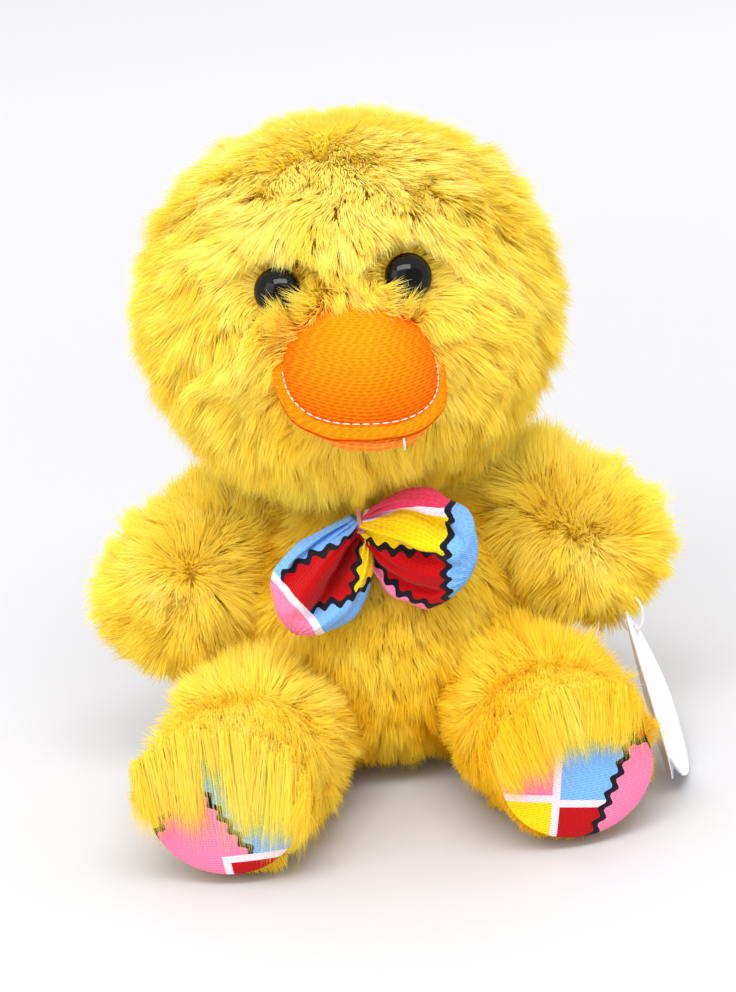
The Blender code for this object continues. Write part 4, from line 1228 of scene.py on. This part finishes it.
def lobeRing(side, place):
    shape = lobes[side]
    end = math.sqrt(max(0.0, 1 - max(0.0, (place - 0.72) / 0.28) ** 2.2))
    over = max(tableAt(shape["over"], place) * end, bow["narrowest"])
    under = max(tableAt(shape["under"], place) * end, bow["narrowest"])
    swell = (bow["thickness"] / 2 - bow["waistDeep"]) * smooth(np.array(place), 0.05, 0.45)
    thick = (bow["waistDeep"] + swell) * end + bow["thinnest"]
    grip = math.exp(-place / 0.38)
    ring = []
    for j in range(bow["around"]):
        turn = math.tau * j / bow["around"]
        c, s = math.cos(turn), math.sin(turn)
        half = over if c > 0 else under
        x = half * math.copysign(abs(c) ** 0.85, c)
        q = x / half
        y = thick * math.copysign(abs(s) ** 0.9, s)
        front = side * s > 0
        push = foldPush(shape, place, q) if front else 0.0
        pleat = math.cos(bow["pleats"] * math.pi * q + (0 if front else 1.3))
        push += bow["pleatDepth"] * pleat * grip * min(1, place * 14)
        y += side * push * (1 if front else -1) * abs(s) ** 0.7
        ring.append((x, y, place * shape["length"]))
    return ring


for side, word in sides.items():
    shape = lobes[side]
    places = [math.sin(math.pi / 2 * i / bow["along"]) ** 0.9 for i in range(bow["along"] + 1)]
    mesh = gridMesh("bow_" + word + "_lobe", [lobeRing(side, place) for place in places])
    local = meshPoints(mesh)
    steps = np.linspace(0, 1, len(shape["over"]))
    share = np.clip(local[:, 2] / shape["length"], 0, 1)
    over, under = (np.interp(share, steps, shape[key]) for key in ("over", "under"))
    q = local[:, 0] / np.maximum(np.where(local[:, 0] > 0, over, under), bow["mapNarrowest"])
    setMap(mesh, "Knit", np.stack([local[:, 2], q * bow["mapWidth"]], axis=1) * mapScale)
    turn = np.array(lobeFrame(side))
    points = moved(local, turn)
    wrinkle = waves(points, bow["wrinkleSize"], 60 + side) * bow["wrinkle"] * smooth(share, 0.1, 0.4)
    points += (vertexNormals(mesh) @ turn[:3, :3].T) * wrinkle[:, None]
    setPoints(mesh, points)
    mesh.materials.append(printMaterial("bow_" + word))
    lobe = addObject("bow_" + word + "_lobe", mesh)
    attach(lobe, "bow")
    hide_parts("bow_cloth")

wraps, knot = [], []
for i in range(thread["steps"] + 1):
    turn = math.tau * thread["turns"] * i / (thread["steps"] + 1)
    spot = (-thread["drift"] + 2 * thread["drift"] * i / thread["steps"], -thread["deep"] * math.cos(turn),
            thread["high"] * math.sin(turn))
    wraps.append(Vector(bow["centre"]) + Vector(spot))
for i in range(thread["knotSteps"] + 1):
    turn = math.tau * thread["knotTurns"] * i / thread["knotSteps"]
    spot = (thread["knotWide"] * math.cos(turn), -thread["knotDeep"] - thread["knotWave"] * math.sin(turn * 2),
            thread["knotHigh"] * math.sin(turn))
    knot.append(Vector(bow["centre"]) + Vector(spot))
threads = [tube("wraps", wraps, thread["radius"]), tube("knot", knot, thread["knotRadius"])]
threads = addObject("bow_knot", joinMeshes("bow_knot", threads, pinkThread))
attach(threads, "bow")
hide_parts("bow_thread")
print("bow made")


card = {"length": 0.0594, "width": 0.032, "thick": 0.0005, "margin": 0.0050, "inset": 0.0065, "hole": 0.0020,
        "opening": 12, "forward": 58, "outward": 6, "turn": 2, "lengthShare": 0.94, "sideTurn": 120, "along": 48,
        "across": 16, "curl": 0.0008, "drill": 0.02}
loop = {"radius": 0.0005, "height": 0.0145, "width": 0.008, "sink": 0.006, "steps": 64}


def tagFrame():
    form = forms["wing"]
    turn = math.acos(1 - 2 * card["lengthShare"])
    share = math.sin(turn) ** form["full"] * (1 + form["taper"] * math.cos(turn))
    around, outward, forward, skew = (math.radians(card[key]) for key in ("sideTurn", "outward", "forward", "turn"))
    spot = Vector((form["width"] / 2 * share * math.cos(around), form["depth"] / 2 * share * math.sin(around),
                   form["length"] * card["lengthShare"]))
    hole = wingFrame(1) @ spot + Vector((0, 0, loop["sink"] - loop["height"] + loop["radius"]))
    down = (math.sin(outward), -math.sin(forward), -math.cos(forward))
    return looking(hole, down, (math.sin(skew), math.cos(skew), 0))


def cardMesh():
    # two leaves of card, joined at the fold, that open a little more towards their free edges
    rows = []
    for i in range(card["along"] + 1):
        share = i / card["along"]
        width = card["width"] * (1 - 0.55 * abs(2 * share - 1) ** 4)
        width *= 1 + 0.03 * math.sin(share * math.tau)
        section = []
        for leaf in (1, -1):
            outer, inner = [], []
            for j in range(card["across"] + 1):
                out = j / card["across"]
                tilt = leaf * math.radians(card["opening"] / 2) * (0.7 + 0.3 * out)
                bend = leaf * card["curl"] * math.sin(math.pi * share) * out ** 2
                x, y = width * out * math.cos(tilt), width * out * math.sin(tilt) + bend
                outer.append((x, y + leaf * card["thick"]))
                inner.append((x, y))
            section.append((outer, inner))
        (upOuter, upInner), (lowOuter, lowInner) = section
        ring = upOuter[::-1] + [(-card["thick"], 0.0)] + lowOuter + lowInner[::-1][:-1] + upInner
        rows.append([(x - card["inset"], y, card["length"] * share - card["margin"]) for x, y in ring])
    return gridMesh("tag_card_leaves", rows)


def cutHole(mesh, frame):
    # the hole goes through both leaves
    drum = bpy.data.meshes.new("drum")
    work = bmesh.new()
    turn = Matrix.Rotation(math.pi / 2, 4, "X")
    bmesh.ops.create_cone(work, cap_ends=True, segments=32, radius1=card["hole"], radius2=card["hole"],
                          depth=card["drill"], matrix=turn)
    work.to_mesh(drum)
    work.free()
    tool = addObject("drum", drum)
    body = addObject("body", mesh)
    step = body.modifiers.new("hole", "BOOLEAN")
    step.operation = "DIFFERENCE"
    step.solver = "EXACT"
    step.object = tool
    made = evaluated(body, "tag_card_leaves")
    bpy.data.objects.remove(tool)
    made.transform(frame)
    return made


def paperMaterial(name, color, roughness):
    finish, maker, shader = newMaterial(name, Coat_Weight=0.15)
    place = maker.place()
    grain = maker.noise(place, 420.0)
    maker.link(maker.ramp(grain, (0.35, darker(color, 0.965)), (0.65, color)), shader.inputs["Base Color"])
    dull = maker.remap(grain, 0.3, 0.7, roughness - 0.08, roughness + 0.08)
    maker.link(dull, shader.inputs["Roughness"])
    bumpInto(maker, shader, maker.noise(place, 2600.0), 0.00002, 0.4)
    return finish


frameOfTag = tagFrame()
leaves = cutHole(cardMesh(), frameOfTag)
leaves.materials.clear()
leaves.materials.append(paperMaterial("whiteCard", rgb(236, 236, 244), 0.45))
leaves.shade_flat()
leaves = addObject("tag_card_leaves", leaves)
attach(leaves, "tag")
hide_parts("tag_card")

halfHeight = loop["height"] / 2 - loop["radius"]
loopFrame = looking(frameOfTag.translation, (0, 0, 1), frameOfTag.to_3x3() @ Vector((1, 0, 0)))
ring = []
for i in range(loop["steps"]):
    turn = math.tau * i / loop["steps"]
    spot = Vector((0, loop["width"] / 2 * math.sin(turn), halfHeight - halfHeight * math.cos(turn)))
    ring.append(loopFrame @ spot)
mesh = tube("tag_string", ring, loop["radius"] * 0.9, closed=True)
mesh.materials.append(threadMaterial("loopPlastic", rgb(240, 240, 240)))
string = addObject("tag_string", mesh)
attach(string, "wing_left")
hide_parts("tag_loop")
print("tag made")


def fillingMaterial(name, color, scale):
    finish, maker, shader = newMaterial(name, Roughness=0.95)
    fluff = maker.noise(maker.place(), scale, 6.0)
    maker.link(maker.ramp(fluff, (0.3, darker(color, 0.8)), (0.7, color)), shader.inputs["Base Color"])
    bumpInto(maker, shader, fluff, 0.0008)
    return finish


# what stays inside
fibre = fillingMaterial("stuffingFibre", rgb(238, 238, 232), 180.0)
plastic = fillingMaterial("washerPlastic", rgb(228, 228, 222), 40.0)
for name, node in frame["nodes"].items():
    if "stuffing" in name or "washer" in name:
        node.data.materials.clear()
        node.data.materials.append(plastic if "washer" in name else fibre)
print("inside finished")
